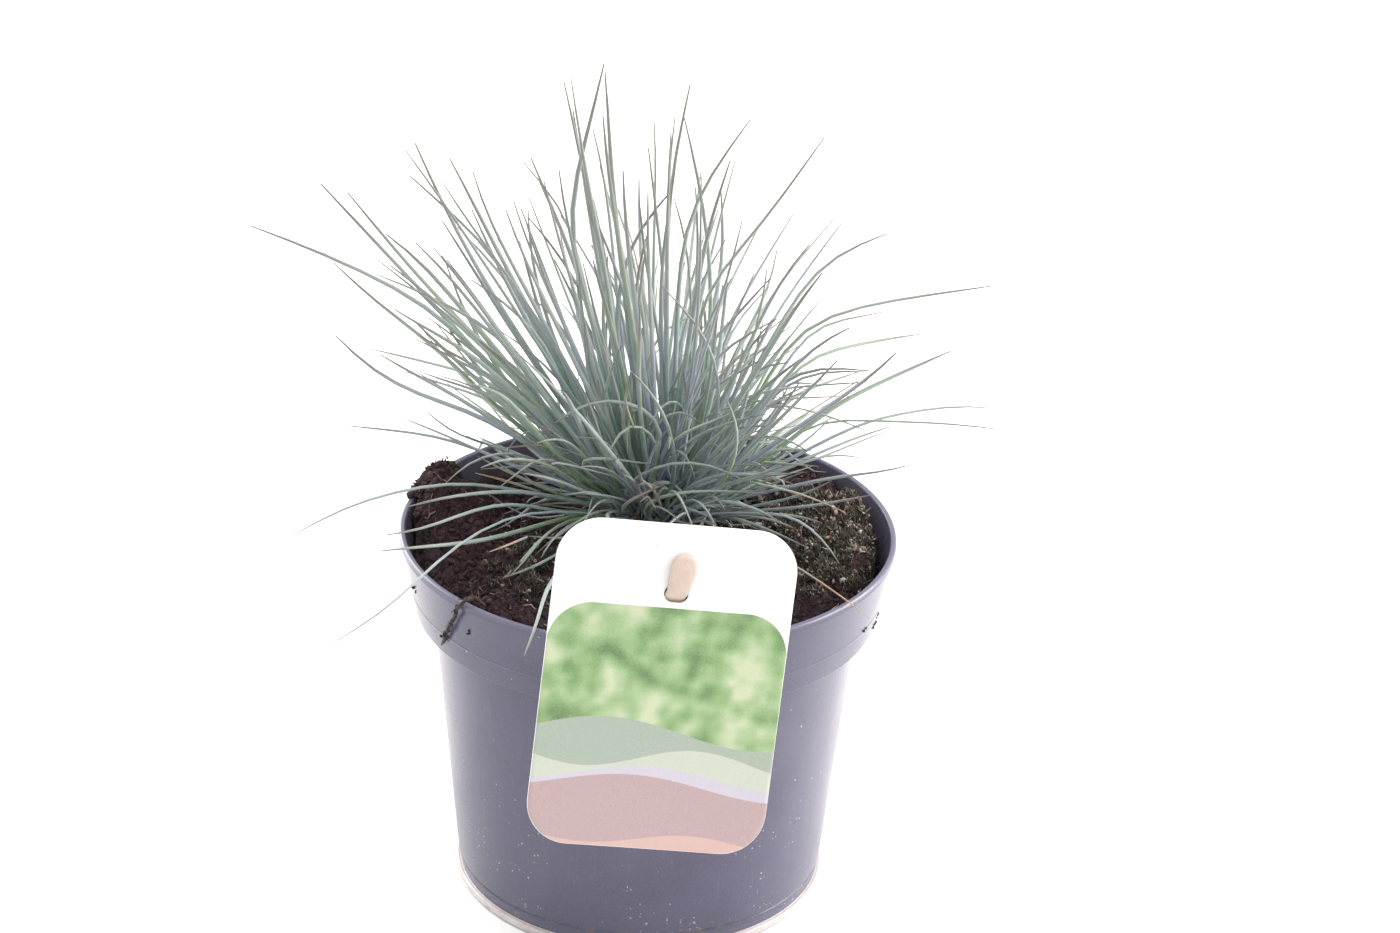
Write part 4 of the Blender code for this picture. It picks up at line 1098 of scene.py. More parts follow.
def intoCard(points):
    # the other way: across, up and out of points in the scene
    local = (points - np.array(cardSpec["centre"])) @ turnMatrix(cardSpec["turn"])
    return local[..., 0], local[..., 2], -local[..., 1]


def roundedReach(angle, start, size, corner):
    # how far a ray from `start` runs inside a rounded rectangle: 40 halvings on the signed distance
    # |max(q, 0)| + min(max(qx, qy), 0) - corner, with q = |p| - size / 2 + corner
    near, far = np.zeros_like(angle), np.full_like(angle, 200.0)
    for _ in range(40):
        middle = (near + far) / 2
        x = np.abs(start[0] + middle * np.cos(angle)) - size[0] / 2 + corner
        y = np.abs(start[1] + middle * np.sin(angle)) - size[1] / 2 + corner
        away = np.hypot(np.maximum(x, 0), np.maximum(y, 0)) + np.minimum(np.maximum(x, y), 0) - corner
        near, far = np.where(away < 0, middle, near), np.where(away < 0, far, middle)
    return near


def buildCard():
    # closed both ways: around the slot, and over the front, the outer edge, the back and the slot's edge
    spec = cardSpec
    turn = fullTurn(spec["spokes"])
    slot = spec["slotPlace"]
    inner = roundedReach(turn, (0.0, 0.0), spec["slotSize"], spec["slotCorner"])
    outer = roundedReach(turn, slot, (spec["width"], spec["height"]), spec["corner"])
    half, edge = spec["thickness"] / 2, spec["edgeRound"]
    shares = np.linspace(0.0, 1.0, spec["faceRings"])
    front = [(share, edge * (1 - 2 * share), half) for share in shares]
    back = [(1 - share, -edge * (1 - 2 * share), -half) for share in shares]
    bends = ((edge * 0.3, half - edge * 0.3), (0.0, half - edge))
    rim = [(1.0, -inset, out) for inset, out in bends] + [(1.0, -inset, -out) for inset, out in bends[::-1]]
    hole = [(0.0, inset, -out) for inset, out in bends] + [(0.0, inset, out) for inset, out in bends[::-1]]
    share, inset, out = np.array(front + rim + back + hole).T[..., None]
    reach = inner + share * (outer - inner) + inset
    across, up = slot[0] + reach * np.cos(turn), slot[1] + reach * np.sin(turn)
    bowed = out - spec["bow"] * (1.0 - (2 * across / spec["width"]) ** 2) * ease(30.0, -20.0, up)
    points = cardPoint(across, up, bowed).reshape(-1, 3)
    rings, spokes = reach.shape
    # one ring too many, whose points are those of the first again
    quads = (tubeFaces(rings + 1, spokes)[0] % (rings * spokes))[:, ::-1]
    face = np.repeat((out[:, 0] > half - 0.01).astype(float), spokes)
    makePiece("labelCard", (points, quads, np.zeros((0, 3), int)), printedCard(),
              ["label_card"], {"face": face}, sharp=50)
    print("label: card", len(quads), "quads")


def printedCard():
    # white plastic with a plain pattern of its own: a soft green meadow above, wavy bands below
    paint = newMaterial("printedCard")
    onCard = Paint(paint.tree, paint.add("Mapping", {
        "Vector": paint.place,
        "Location": [value * mm for value in cardSpec["centre"]],
        "Rotation": [math.radians(value) for value in cardSpec["turn"]],
        "Scale": (mm, mm, mm)}, vector_type="TEXTURE").outputs["Vector"])    # in mm, on the card
    across, up = onCard.part(onCard.place, "X"), onCard.part(onCard.place, "Z")

    # the printed field: a rounded rectangle by its signed distance
    corner, edge = printSpec["corner"], printSpec["edge"]
    top, bottom = printSpec["top"], -cardSpec["height"] / 2
    sides = ((across, 0.0, cardSpec["width"] / 2), (up, (top + bottom) / 2, (top - bottom) / 2))
    past = []
    for value, middle, half in sides:
        away = paint.maths("ABSOLUTE", paint.maths("SUBTRACT", value, middle))
        past.append(paint.maths("MAXIMUM", paint.maths("SUBTRACT", away, half - corner), 0.0))
    distance = paint.maths("SQRT", paint.weighed((past[0], past[0]), (past[1], past[1])))
    field = paint.times(paint.between(distance, corner + edge, corner - edge),
                        paint.between(paint.mark("face"), 0.5, 0.9))

    # the meadow is out of focus, and each band below it starts at its own wave
    meadow = paint.weighed((onCard.noise(0.075, 1.0, 0.4, 0.6), 0.6), (onCard.noise(0.19, 1.0, 0.3), 0.4))
    paint.colour = paint.ramp(meadow, printSpec["meadow"])
    for level, swing, pitch, phase, colour in printSpec["bands"]:
        wave = paint.maths("SINE", paint.maths("MULTIPLY_ADD", across, pitch, phase))
        start = paint.maths("MULTIPLY_ADD", wave, swing, level)
        paint.cover(colour, paint.between(paint.maths("SUBTRACT", up, start), 0.08, -0.08))
    paint.cover((1.0, 1.0, 1.0), paint.between(onCard.noise(3.2, 1.0), 0.3, 0.7, 0.0, 0.06))
    plain = paint.blend(paint.patches(45.0), *cardSpec["white"])
    paint.colour = paint.blend(field, plain, paint.colour)
    paint.cover((0.2, 0.13, 0.1), paint.specks(160.0, 0.035, 0.09), 0.7)
    handled = paint.noise(90.0, 4.0)
    return paint.finish(paint.between(handled, 0.3, 0.7, 0.34, 0.5), paint.pits(900.0), 0.00008, 0.5)


pegSpec = {
    "onCard": ((1.0, 10.4, 1.3), (0.8, 6.5, 1.8), (0.2, 1.6, 1.5), (0.0, -0.8, -0.9), (0.0, -3.2, -2.8)),
    "belowCard": ((6.1, -58.6, 99.8), (5.6, -51.0, 79.8), (4.8, -41.5, 42.8)),
    "thickness": 1.8,
    "roundness": 0.6,
    "pointLength": 12.0,
    "widths": ((0.0, 2.4), (0.6, 4.4), (1.6, 5.9), (3.4, 6.7), (5.6, 6.5),      # by distance from the head
               (7.8, 6.0), (9.2, 5.6), (10.5, 5.4), (12.0, 5.3), (15.0, 4.6)),
    "rings": (36, 49),                   # of the head and of the shaft
    "sides": 28,
    "plastic": ((0.52, 0.41, 0.35), (0.58, 0.47, 0.41)),
}


def buildPeg():
    # a bar of rounded section: the cosine and the sine to a power below 1, each with its own sign.
    # Its width goes by the distance from the head, and it narrows to a point at the other end.
    spec = pegSpec
    onCard, slot = np.array(spec["onCard"]), cardSpec["slotPlace"]
    head = cardPoint(onCard[:, 0] + slot[0], onCard[:, 1] + slot[1], onCard[:, 2])
    path = smoothLine(np.vstack([head, spec["belowCard"]]), 400)
    length = lengthAlong(path)[-1]
    marks = np.concatenate([[0.0, 0.12, 0.35, 0.7, 1.1], np.linspace(1.6, 16.0, spec["rings"][0]),
                            np.linspace(17.0, length, spec["rings"][1])])
    path = pointsAlong(path, marks)
    pointed = ease(0.0, spec["pointLength"], length - marks)
    width = np.interp(marks, *np.array(spec["widths"]).T) * (0.25 + 0.75 * pointed)
    thick = spec["thickness"] * np.sqrt(np.clip(marks / 1.1, 0.02, 1.0)) * (0.45 + 0.55 * pointed)
    along, across, normal = (part[0] for part in rodFrames(path[None], turnMatrix(cardSpec["turn"])[:, 0]))
    turn = fullTurn(spec["sides"])
    wide, high = (np.sign(part) * np.abs(part) ** spec["roundness"] for part in (np.cos(turn), np.sin(turn)))
    surface = (path[:, None, :] + (width[:, None] / 2 * wide)[..., None] * across[:, None, :]
               + (thick[:, None] / 2 * high)[..., None] * normal[:, None, :])
    points = np.vstack([surface.reshape(-1, 3), path[:1] - along[:1] * 0.12, path[-1:] + along[-1:] * 0.6])
    shape = (points, *tubeFaces(*surface.shape[:2]))
    makePiece("labelPeg", shape, pegPlastic(), ["label_peg"])
    print("label: peg", len(points), "points")


def pegPlastic():
    paint = newMaterial("pegPlastic")
    patches = paint.patches(260.0)
    paint.colour = paint.blend(patches, *pegSpec["plastic"])
    grain = paint.noise(2400.0, 3.0, 0.6, stretch=(1.0, 1.0, 0.15))
    paint.cover((0.5, 0.38, 0.31), paint.between(grain, 0.5, 0.72, 0.0, 0.35))
    paint.cover((0.3, 0.2, 0.14), paint.specks(700.0, 0.05, 0.25), 0.6)
    relief = paint.maths("ADD", grain, patches)
    return paint.finish(paint.between(patches, 0.0, 1.0, 0.45, 0.62), relief, 0.00012, 0.6)


# loose root over the rim

rootSpec = {
    "points": ((-40.2, -42.8, 98), (-42.6, -45.6, 101.6), (-45.4, -47.6, 101.4), (-47, -46.6, 98.2),
               (-48.2, -44.3, 94.4), (-49.6, -40.8, 89.8), (-50.7, -37.6, 85.4), (-51.4, -35.3, 82.6)),
    "thickness": ((0.0, 0.7), (0.1, 0.95), (0.7, 1.05), (0.95, 0.9), (1.0, 0.4)),
    "rings": 44,
    "wobble": 0.28,
    "rootlets": 16,
    "rootletLengths": (0.8, 3.2),
    "rootletRadii": (0.09, 0.2),
    "crumbs": 30,
    "crumbSizes": (0.2, 0.55),
    "rough": 0.25,
    "flat": 0.35,
    "bark": ((0.024, 0.016, 0.019), (0.062, 0.040, 0.038)),
}


def buildLooseRoot():
    # a crooked strand, with rootlets along random walks that point away from the pot
    spec = rootSpec
    dice = np.random.default_rng(21)
    rings, count, bits = spec["rings"], spec["rootlets"], spec["crumbs"]
    marks = np.linspace(0.0, 1.0, rings)
    sway = np.stack([waves(marks * 30, marks * 0, 5.0, 6, seed) for seed in (31, 32, 33)], axis=-1)
    path = smoothLine(spec["points"], rings) + spec["wobble"] * sway * ease(0.0, 0.08, marks)[:, None]
    uneven = 1 + 0.18 * waves(marks * 40, marks * 0, 3.0, 7, 34)
    radius = np.interp(marks, *np.array(spec["thickness"]).T) / 2 * uneven
    main = strands(path[None], radius[None], 8, (0.3, 0.2, 0.9))
    starts = path[dice.integers(6, rings - 4, count)]
    ways = dice.normal(size=(count, 3))
    ways[:, :2] -= 0.9 * np.abs(dice.normal(size=(count, 1))) * np.array([[0.75, 0.65]])
    ways /= np.linalg.norm(ways, axis=1, keepdims=True)
    small = wander(starts, ways, dice.uniform(*spec["rootletLengths"], count), 6, 0.35, dice)
    thin = dice.uniform(*spec["rootletRadii"], (count, 1)) * np.linspace(1.2, 0.6, 6)[None]
    # crumbs caught along it
    spots = path[dice.integers(4, rings - 3, bits)] + dice.normal(0, 0.35, (bits, 3))
    caught = lumps(spots, dice.uniform(*spec["crumbSizes"], bits), dice, spec["rough"], spec["flat"])
    shape = joined(main, strands(small, thin, 3), caught)
    makePiece("looseRoot", shape, rootBark(), ["loose_root"])
    print("loose root:", len(shape[0]), "points")


def rootBark():
    paint = newMaterial("rootBark")
    patches = paint.patches(700.0)
    paint.colour = paint.blend(patches, *rootSpec["bark"])
    return paint.finish(paint.between(patches, 0.0, 1.0, 0.9, 0.7), paint.pits(1800.0), 0.0005, 0.8)


# grass clump

clumpSpec = {
    "shoots": 46,
    "middle": (2.0, 19.0),
    "halfWidth": 15.5,
    "halfDepth": 12.0,
    "outerLean": 48.0,                   # degrees, of the outermost sheaths
    "widestLean": 68.0,                  # and of the leaves that start at the outermost ones
    "goldenAngle": 137.508,
    "sheathLength": 7.0,
    "sheathRadius": 1.2,
    "sheathShape": (0.9, 1.0, 0.95, 0.85, 0.72, 0.5),
    "sheathFollowed": 5.0,               # how far a read leaf follows its sheath
    "seatJitter": (0.1, 0.16),           # chance in whose leaf one is, for read and for filling leaves
    "bladeRadius": (0.38, 0.60),
    "bladeFlatness": 0.72,               # thickness over width of a rolled leaf
    "bladeRings": 14,
    "bladeSides": 6,
    "fillLeaves": 322,
    "fillLengths": (0.45, 0.96),         # of the read leaf that each goes by
    "shortLeaves": 92,
    "shortLengths": (0.28, 0.55),
    "fillTurns": (25.0, 11.0),           # degrees: the spread of how they are turned and nodded
    "fillDroop": (10.0, 8.0, 4.0),
    "outline": 0.93,                     # and how near they come to the read outline
    "outlineFade": 9.0,                  # degrees on either side of a tip
    "clearance": 0.9,                    # above the peat's relief and the lip
    "reliefRise": 1.4,
    "lipBand": (4.0, 4.5),               # the lip is cleared from this far inside the rim to this far outside
    "cardGap": 1.3,
    "cardMargin": 0.8,
    "twist": 0.8,                        # spread, in radians from foot to tip
    "thatch": 150,
    "thatchLengths": (5.0, 15.0),
    "thatchRadii": (0.25, 0.5),
    "dryRadius": 0.3,
    "dryFlatness": 0.6,
    "ridges": 11,
    "green": ((0.05, (0.310, 0.330, 0.480)), (0.35, (0.258, 0.325, 0.375)),
              (0.65, (0.196, 0.298, 0.230)), (0.95, (0.200, 0.315, 0.120))),
    "bloom": (0.405, 0.455, 0.50),
    "straw": ((0.44, 0.21, 0.115), (0.52, 0.37, 0.22)),
    "thatchColours": ((0.0, (0.20, 0.20, 0.13)), (0.4, (0.24, 0.17, 0.13)),
                      (0.7, (0.14, 0.085, 0.05)), (1.0, (0.36, 0.26, 0.16))),
}

# leaves read off the photo: how far the tip stands behind (+) or in front (-) of the clump's middle, in mm,
# and then the leaf's pixels, from its tip inwards
readLeaves = (
    (5, (251, 226), (290, 239), (333, 258), (373, 276), (402, 290), (432, 306)),
    (30, (321, 184), (336, 200), (364, 230), (397, 265), (422, 291)),
    (45, (348, 193), (354, 200), (381, 233), (406, 263), (439, 299)),
    (15, (386, 234), (419, 258)),
    (-25, (416, 243), (445, 270)),
    (40, (434, 248), (460, 280)),
    (-30, (442, 256), (468, 290)),
    (20, (334, 263), (348, 280), (381, 306), (422, 336), (462, 371), (499, 411)),
    (-35, (394, 309), (424, 329), (451, 343), (477, 357)),
    (35, (436, 323), (472, 367), (499, 396)),
    (10, (336, 336), (356, 359), (389, 382), (422, 397), (455, 407), (479, 414)),
    (45, (371, 349), (406, 357), (452, 369), (499, 386)),
    (-30, (381, 355), (406, 371), (444, 389), (489, 417)),
    (-15, (424, 373), (452, 385), (499, 399)),
    (30, (447, 383), (479, 407)),
    (5, (350, 426), (389, 430), (439, 436), (472, 447)),
    (-60, (293, 535), (353, 502), (390, 494), (423, 485), (456, 481), (480, 483)),
    (-50, (407, 507), (440, 498), (490, 492), (531, 492)),
    (-62, (386, 535), (423, 530), (456, 516), (490, 505), (519, 502), (572, 516)),
    (-68, (380, 551), (440, 545), (473, 543), (514, 533), (556, 520)),
    (-92, (333, 643), (390, 608), (423, 574), (453, 546), (490, 525), (526, 509)),
    (-19, (445, 484), (460, 467), (490, 453), (514, 452), (539, 460)),
    (-29, (500, 487), (523, 470), (549, 455)),
    (-42, (503, 578), (531, 568), (556, 555)),
    (-96, (524, 656), (533, 634), (542, 609), (553, 574)),
    (25, (415, 143), (438, 195), (463, 243), (494, 297)),
    (-15, (406, 151), (434, 188)),
    (40, (410, 176), (438, 199), (463, 228), (500, 262)),
    (15, (450, 159), (477, 207), (496, 249)),
    (-25, (473, 172), (482, 207)),
    (-40, (506, 210), (520, 250)),
    (45, (514, 202), (530, 250)),
    (30, (524, 163), (545, 190), (570, 220)),
    (-35, (544, 181), (556, 230)),
    (-20, (559, 170), (566, 220)),
    (20, (564, 82), (575, 130)),
    (-10, (571, 78), (582, 151), (593, 213), (603, 251)),
    (-5, (604, 64), (591, 121), (580, 165), (568, 241)),
    (25, (605, 71), (612, 126), (610, 165)),
    (-30, (603, 116), (606, 160)),
    (50, (593, 129), (607, 193)),
    (-45, (623, 171), (626, 230)),
    (60, (639, 180), (640, 240)),
    (-40, (648, 192), (648, 250)),
    (40, (654, 117), (657, 165), (654, 232)),
    (-20, (671, 133), (668, 190)),
    (15, (675, 117), (668, 180)),
    (10, (690, 85), (679, 142), (668, 203)),
    (20, (750, 120), (724, 153), (701, 195), (682, 234)),
    (-20, (730, 161), (721, 192), (705, 240)),
    (50, (721, 191), (722, 230), (722, 272)),
    (-40, (742, 221), (733, 260)),
    (15, (824, 138), (791, 184), (761, 226), (724, 268), (698, 297)),
    (55, (777, 250), (768, 291)),
    (-30, (809, 245), (775, 290)),
    (40, (841, 224), (810, 265), (783, 303), (760, 343)),
    (25, (886, 234), (858, 242), (833, 256), (808, 277)),
    (-35, (822, 273), (800, 300)),
    (50, (820, 301), (795, 330)),
    (10, (992, 286), (949, 292), (907, 298), (866, 304), (833, 313), (816, 320), (791, 334)),
    (30, (883, 312), (849, 321), (808, 331)),
    (-40, (849, 328), (800, 359)),
    (45, (922, 334), (883, 339), (841, 349), (800, 362)),
    (25, (951, 351), (916, 366), (874, 386), (833, 406)),
    (-25, (896, 353), (883, 368), (849, 392)),
    (-45, (837, 361), (800, 399)),
    (40, (866, 376), (840, 392)),
    (20, (991, 408), (951, 403), (934, 410), (899, 414), (866, 420)),
    (-5, (1004, 430), (952, 423), (899, 422), (849, 420), (808, 421)),
    (25, (893, 426), (850, 440)),
    (-25, (910, 465), (889, 472), (858, 474), (825, 479)),
    (16, (861, 458), (843, 454), (815, 458)),
    (30, (890, 430), (850, 445), (812, 461)),
    (-35, (872, 495), (812, 506), (778, 509)),
    (-35, (831, 481), (795, 497)),
    (-30, (555, 423), (564, 410), (579, 402), (597, 399), (614, 398), (632, 401),
     (647, 407), (659, 420), (664, 444)),
    (-36, (748, 483), (735, 474), (720, 465), (700, 461), (680, 460), (660, 463),
     (645, 470), (630, 482), (613, 497)),
    (-32, (688, 499), (683, 491), (676, 484), (667, 480), (657, 481), (648, 489), (641, 501)),
    (-34, (605, 462), (609, 448), (616, 432), (625, 421), (632, 418), (643, 423), (653, 436), (661, 453)),
    (-22, (700, 423), (695, 413), (687, 408), (679, 407), (668, 413), (655, 426), (645, 444)),
    (-30, (714, 431), (706, 431), (698, 436), (689, 448), (682, 460), (675, 475)),
    (-38, (650, 464), (630, 462), (610, 458), (590, 457), (572, 459), (584, 470), (604, 488)),
    (-34, (587, 408), (586, 420), (584, 427), (591, 434), (600, 447), (609, 464), (617, 484)),
    (-24, (598, 380), (601, 400), (609, 424), (619, 448), (630, 472), (638, 492)),
    (-20, (683, 372), (687, 398), (685, 424), (678, 447), (669, 468)),
    (-48, (520, 473), (541, 476), (561, 482), (581, 490), (600, 498), (616, 505)),
    (-26, (632, 366), (627, 392), (622, 420), (628, 450), (636, 478)),
    (-34, (742, 421), (733, 432), (716, 452), (700, 472), (684, 492)),
    (-44, (760, 420), (741, 437), (722, 452), (704, 472), (683, 496)),
    (-46, (790, 464), (772, 470), (748, 478), (722, 486), (698, 496), (676, 506)),
    (-44, (791, 474), (771, 476), (744, 474), (716, 474), (694, 484), (672, 498)),
    (-50, (780, 522), (760, 510), (736, 503), (712, 500), (690, 503)),
    (-40, (727, 478), (721, 488), (712, 496), (694, 504)),
    (-27, (806, 547), (760, 526), (720, 514), (683, 511)),
    (-50, (839, 563), (829, 545), (810, 528), (786, 514)),
    (-35, (822, 523), (790, 515)),
    (-40, (793, 528), (765, 518)),
    (-68, (869, 618), (857, 607), (846, 599), (832, 591), (816, 579), (797, 566)),
)

# leaves on the far side, which the photo hides: azimuth, reach and rise in mm, and launch angle
farLeaves = (
    (58, 86, 62, 62), (72, 84, 58, 60), (84, 80, 72, 66), (103, 88, 70, 62),
    (118, 76, 72, 64), (131, 88, 58, 58), (92, 78, 40, 50), (68, 74, 36, 52),
    (112, 80, 34, 48), (127, 62, 86, 70), (56, 60, 72, 68), (71, 54, 87, 74),
)

# dead and yellowing leaves: depth of the tip, depth of the near end, pixels from the tip inwards, dryness
dryLeaves = (
    (-52, -40, ((489, 552), (508, 545), (527, 537)), 0.8),
    (-22, -12, ((475, 473), (506, 481), (540, 492)), 0.6),
    (-20, -18, ((603, 345), (607, 358), (608, 374)), 0.8),
    (-20, -16, ((540, 425), (553, 432), (570, 445)), 0.55),
    (-30, -26, ((625, 395), (628, 410), (634, 428)), 0.7),
    (-34, -30, ((640, 502), (648, 497), (655, 508)), 0.6),
    (-22, -18, ((762, 432), (742, 440), (722, 450)), 0.45),
    (-40, -30, ((845, 512), (800, 494), (752, 482)), 0.35),
)


def shootSeats():
    # shoot n stands at the golden angle times n, at the square root of its share of the way out
    spec = clumpSpec
    index = np.arange(spec["shoots"])
    azimuth = np.radians(spec["goldenAngle"] * index)
    lean = np.sqrt((index + 0.5) / spec["shoots"])
    seats = polar(azimuth, lean)[:, :2]
    x, y = seatPlaces(seats)
    tilt = np.radians(spec["outerLean"]) * lean
    return seats, np.column_stack([x, y, soilHeight(x, y) + 0.2]), polar(azimuth, np.sin(tilt), np.cos(tilt))


def seatPlaces(seats):
    # places on the disc of seats, of radius 1, to places on the clump's oval foot
    spec = clumpSpec
    return (spec["middle"][0] + spec["halfWidth"] * seats[:, 0],
            spec["middle"][1] + spec["halfDepth"] * seats[:, 1])


def seatOf(ends):
    # where on the seat disc a leaf that ends there would start: its bearing, and its lean over the widest one
    way = ends - np.array([*clumpSpec["middle"], soilSpec["level"]])
    flat = np.hypot(way[:, 0], way[:, 1])
    lean = np.clip(np.degrees(np.arctan2(flat, way[:, 2])) / clumpSpec["widestLean"], 0.0, 1.0)
    return way[:, :2] / np.maximum(flat, 1e-6)[:, None] * lean[:, None]


def nearest(wanted, offered, dice, jitter):
    # for each wanted place the offered one that comes closest, with some chance in it
    apart = np.linalg.norm(wanted[:, None, :] - offered[None], axis=2)
    return np.argmin(apart + dice.exponential(jitter, apart.shape), axis=1)


def readPaths(seats, feet, axes, dice):
    # from the sheath, through the points that the leaf's pixels stand for
    middle = clumpSpec["middle"][1]
    paths, owners = [], []
    for depth, *pixels in readLeaves:
        pixels = np.array(pixels[::-1], float)
        tip = sightTo(pixels[-1:], middle + depth)
        owner = nearest(seatOf(tip), seats, dice, clumpSpec["seatJitter"][0])[0]
        foot = feet[owner]
        run = np.linalg.norm(np.diff(np.vstack([lookAt(foot), pixels]), axis=0), axis=1)
        share = np.cumsum(run) / run.sum()
        deep = foot[1] + (middle + depth - foot[1]) * share ** 1.2
        sheathEnd = foot + axes[owner] * clumpSpec["sheathFollowed"]
        points = np.vstack([foot, sheathEnd, sightTo(pixels, deep)])
        paths.append(smoothLine(points, clumpSpec["bladeRings"]))
        owners.append(owner)
    return np.array(paths), np.array(owners)


def farPaths(seats, feet, axes, dice):
    # cubic curves: along the sheath, up at the launch angle, and on to the tip
    azimuth, reach, rise, launch = np.array(farLeaves, float).T
    bearing, climb = np.radians(azimuth), np.radians(launch)
    tips = np.array([*clumpSpec["middle"], soilSpec["level"]]) + polar(bearing) * reach[:, None]
    tips[:, 2] += rise
    owners = nearest(seatOf(tips), seats, dice, clumpSpec["seatJitter"][0])
    root = feet[owners]
    chord = np.linalg.norm(tips - root, axis=1)[:, None]
    first = root + 0.15 * chord * axes[owners]
    second = root + 0.5 * chord * polar(bearing, np.cos(climb), np.sin(climb))
    t = np.linspace(0.0, 1.0, clumpSpec["bladeRings"])[None, :, None]
    root, first, second, tips = (points[:, None] for points in (root, first, second, tips))
    return ((1 - t) ** 3 * root + 3 * t * (1 - t) ** 2 * first + 3 * t ** 2 * (1 - t) * second
            + t ** 3 * tips), owners


def turned(first, second, angle):
    # two coordinates of each path turned by the path's own angle
    cosine, sine = np.cos(angle)[:, None], np.sin(angle)[:, None]
    return first * cosine - second * sine, first * sine + second * cosine


def turnedPaths(paths, bearing, nod):
    # each path turned about the upright through its foot, then nodded about the level line across it
    away = paths - paths[:, :1]
    x, y = turned(away[..., 0], away[..., 1], bearing)
    flat = np.hypot(x[:, -1], y[:, -1])
    headX, headY = (x[:, -1] / flat)[:, None], (y[:, -1] / flat)[:, None]
    outwards, aside = x * headX + y * headY, -x * headY + y * headX
    up, outwards = turned(away[..., 2], outwards, nod)
    return np.stack([outwards * headX - aside * headY, outwards * headY + aside * headX, up], axis=-1)


def reachAround(pixels, tips, middle):
    # how far leaf tips reach in the photo, by bearing: the furthest tip, each fading over a few degrees
    away, tipsAway = pixels - middle, tips - middle
    tipBearing = np.degrees(np.arctan2(tipsAway[:, 1], tipsAway[:, 0]))
    apart = aroundFrom(away[:, :1], away[:, 1:], tipBearing)
    return (np.linalg.norm(tipsAway, axis=1) * bell(apart, clumpSpec["outlineFade"])).max(1)


def fillPaths(guides, seats, feet, dice):
    # every shoot gets as many more leaves, each after a read one that heads its way (or is mirrored front
    # to back to do so), then turned, nodded and shortened
    spec = clumpSpec
    count = spec["fillLeaves"] + spec["shortLeaves"]
    owners = np.arange(count) % spec["shoots"]
    middle = np.array([*spec["middle"], soilSpec["level"] + 8.0])
    offered = guides - guides[:, :1]
    offered = np.concatenate([offered, offered * np.array([1.0, -1.0, 1.0])])
    pick = nearest(seats[owners], seatOf(middle + offered[:, -1]), dice, spec["seatJitter"][1])
    bearing, nod = (np.radians(dice.normal(0.0, spread, count)) for spread in spec["fillTurns"])
    away = turnedPaths(offered[pick], bearing, nod)
    length = np.concatenate([dice.uniform(*spec["fillLengths"], spec["fillLeaves"]),
                             dice.uniform(*spec["shortLengths"], spec["shortLeaves"])])
    upright = ease(0.5, 1.8, away[:, -1, 2] / np.hypot(away[:, -1, 0], away[:, -1, 1]))
    length = length + 0.12 * upright * (length > 0.5)
    away *= length[:, None, None]
    # leaves that would end outside the read outline are shortened to it
    crown = lookAt(middle)
    ends = lookAt(feet[owners] + away[:, -1])
    allowed = reachAround(ends, lookAt(guides[:, -1]), crown)
    above = np.degrees(np.arctan2(crown[1] - ends[:, 1], np.abs(ends[:, 0] - crown[0])))
    allowed *= 0.52 + 0.48 * ease(4.0, 40.0, above)
    allowed *= 1.0 - 0.30 * ease(20.0, 130.0, ends[:, 0] - crown[0])
    fitted = spec["outline"] * allowed / np.linalg.norm(ends - crown, axis=1)
    away *= np.clip(fitted, 0.3, 1.0)[:, None, None]
    # and each bends a little its own way
    share = np.linspace(0.0, 1.0, away.shape[1])[None, :, None]
    droop = dice.normal(0.0, 1.0, (count, 1, 3)) * np.array(spec["fillDroop"]) * length[:, None, None]
    away += droop * share * (1.0 - share) * 2.0
    hook = dice.exponential(1.0, (count, 1)) * (dice.random((count, 1)) < 0.35) * 12.0 * length[:, None] ** 2
    away[..., 2] -= hook * share[..., 0] ** 3
    return feet[owners][:, None, :] + away, owners


def keepClear(paths):
    # above the peat, over the lip or outside the pot, and behind the card
    spec = clumpSpec
    x, y, z = paths[..., 0], paths[..., 1], paths[..., 2]
    radius = np.hypot(x, y)
    past = np.arange(paths.shape[1])[None, :] > 2
    ground = soilHeight(x, y) + spec["clearance"] + spec["reliefRise"]
    rim = np.maximum(potSpec["height"] + spec["clearance"], ground)
    inside, outside = spec["lipBand"]
    low = np.where(radius < potSpec["rimInside"] - inside, ground,
                   np.where(radius < potSpec["rimRadius"] + outside, rim, z))
    paths[..., 2] = np.where(past, np.maximum(z, low), z)
    across, up, out = intoCard(paths)
    halfWide, halfHigh = cardSpec["width"] / 2, cardSpec["height"] / 2
    near = ((np.abs(across) < halfWide + spec["cardMargin"]) & (up < halfHigh + spec["cardMargin"])
            & (up > -halfHigh) & (out > -spec["cardGap"]) & past)
    paths[near] = cardPoint(across[near], up[near], -spec["cardGap"])
    return paths


def relaxed(paths, rounds=3):
    # each inner point drawn half way to the middle of its neighbours, then kept clear again
    for _ in range(rounds):
        paths[:, 2:-1] = 0.5 * paths[:, 2:-1] + 0.25 * (paths[:, 1:-2] + paths[:, 3:])
        paths = keepClear(paths)
    return paths


def makeLeaves(name, nodes, rods, material, tint, along, dry):
    # a piece of rolled leaves, with each one's tint and dryness, and how far along the leaf each point is
    rings, sides, each = clumpSpec["bladeRings"], clumpSpec["bladeSides"], rods[3]
    along = np.concatenate([np.repeat(along, sides), [0.0, 1.0]])
    marks = {"tint": np.repeat(tint, each), "along": np.tile(along, len(tint)), "dry": np.repeat(dry, each)}
    makePiece(name, rods, material, nodes, marks, strandMaps(len(tint), rings, sides))


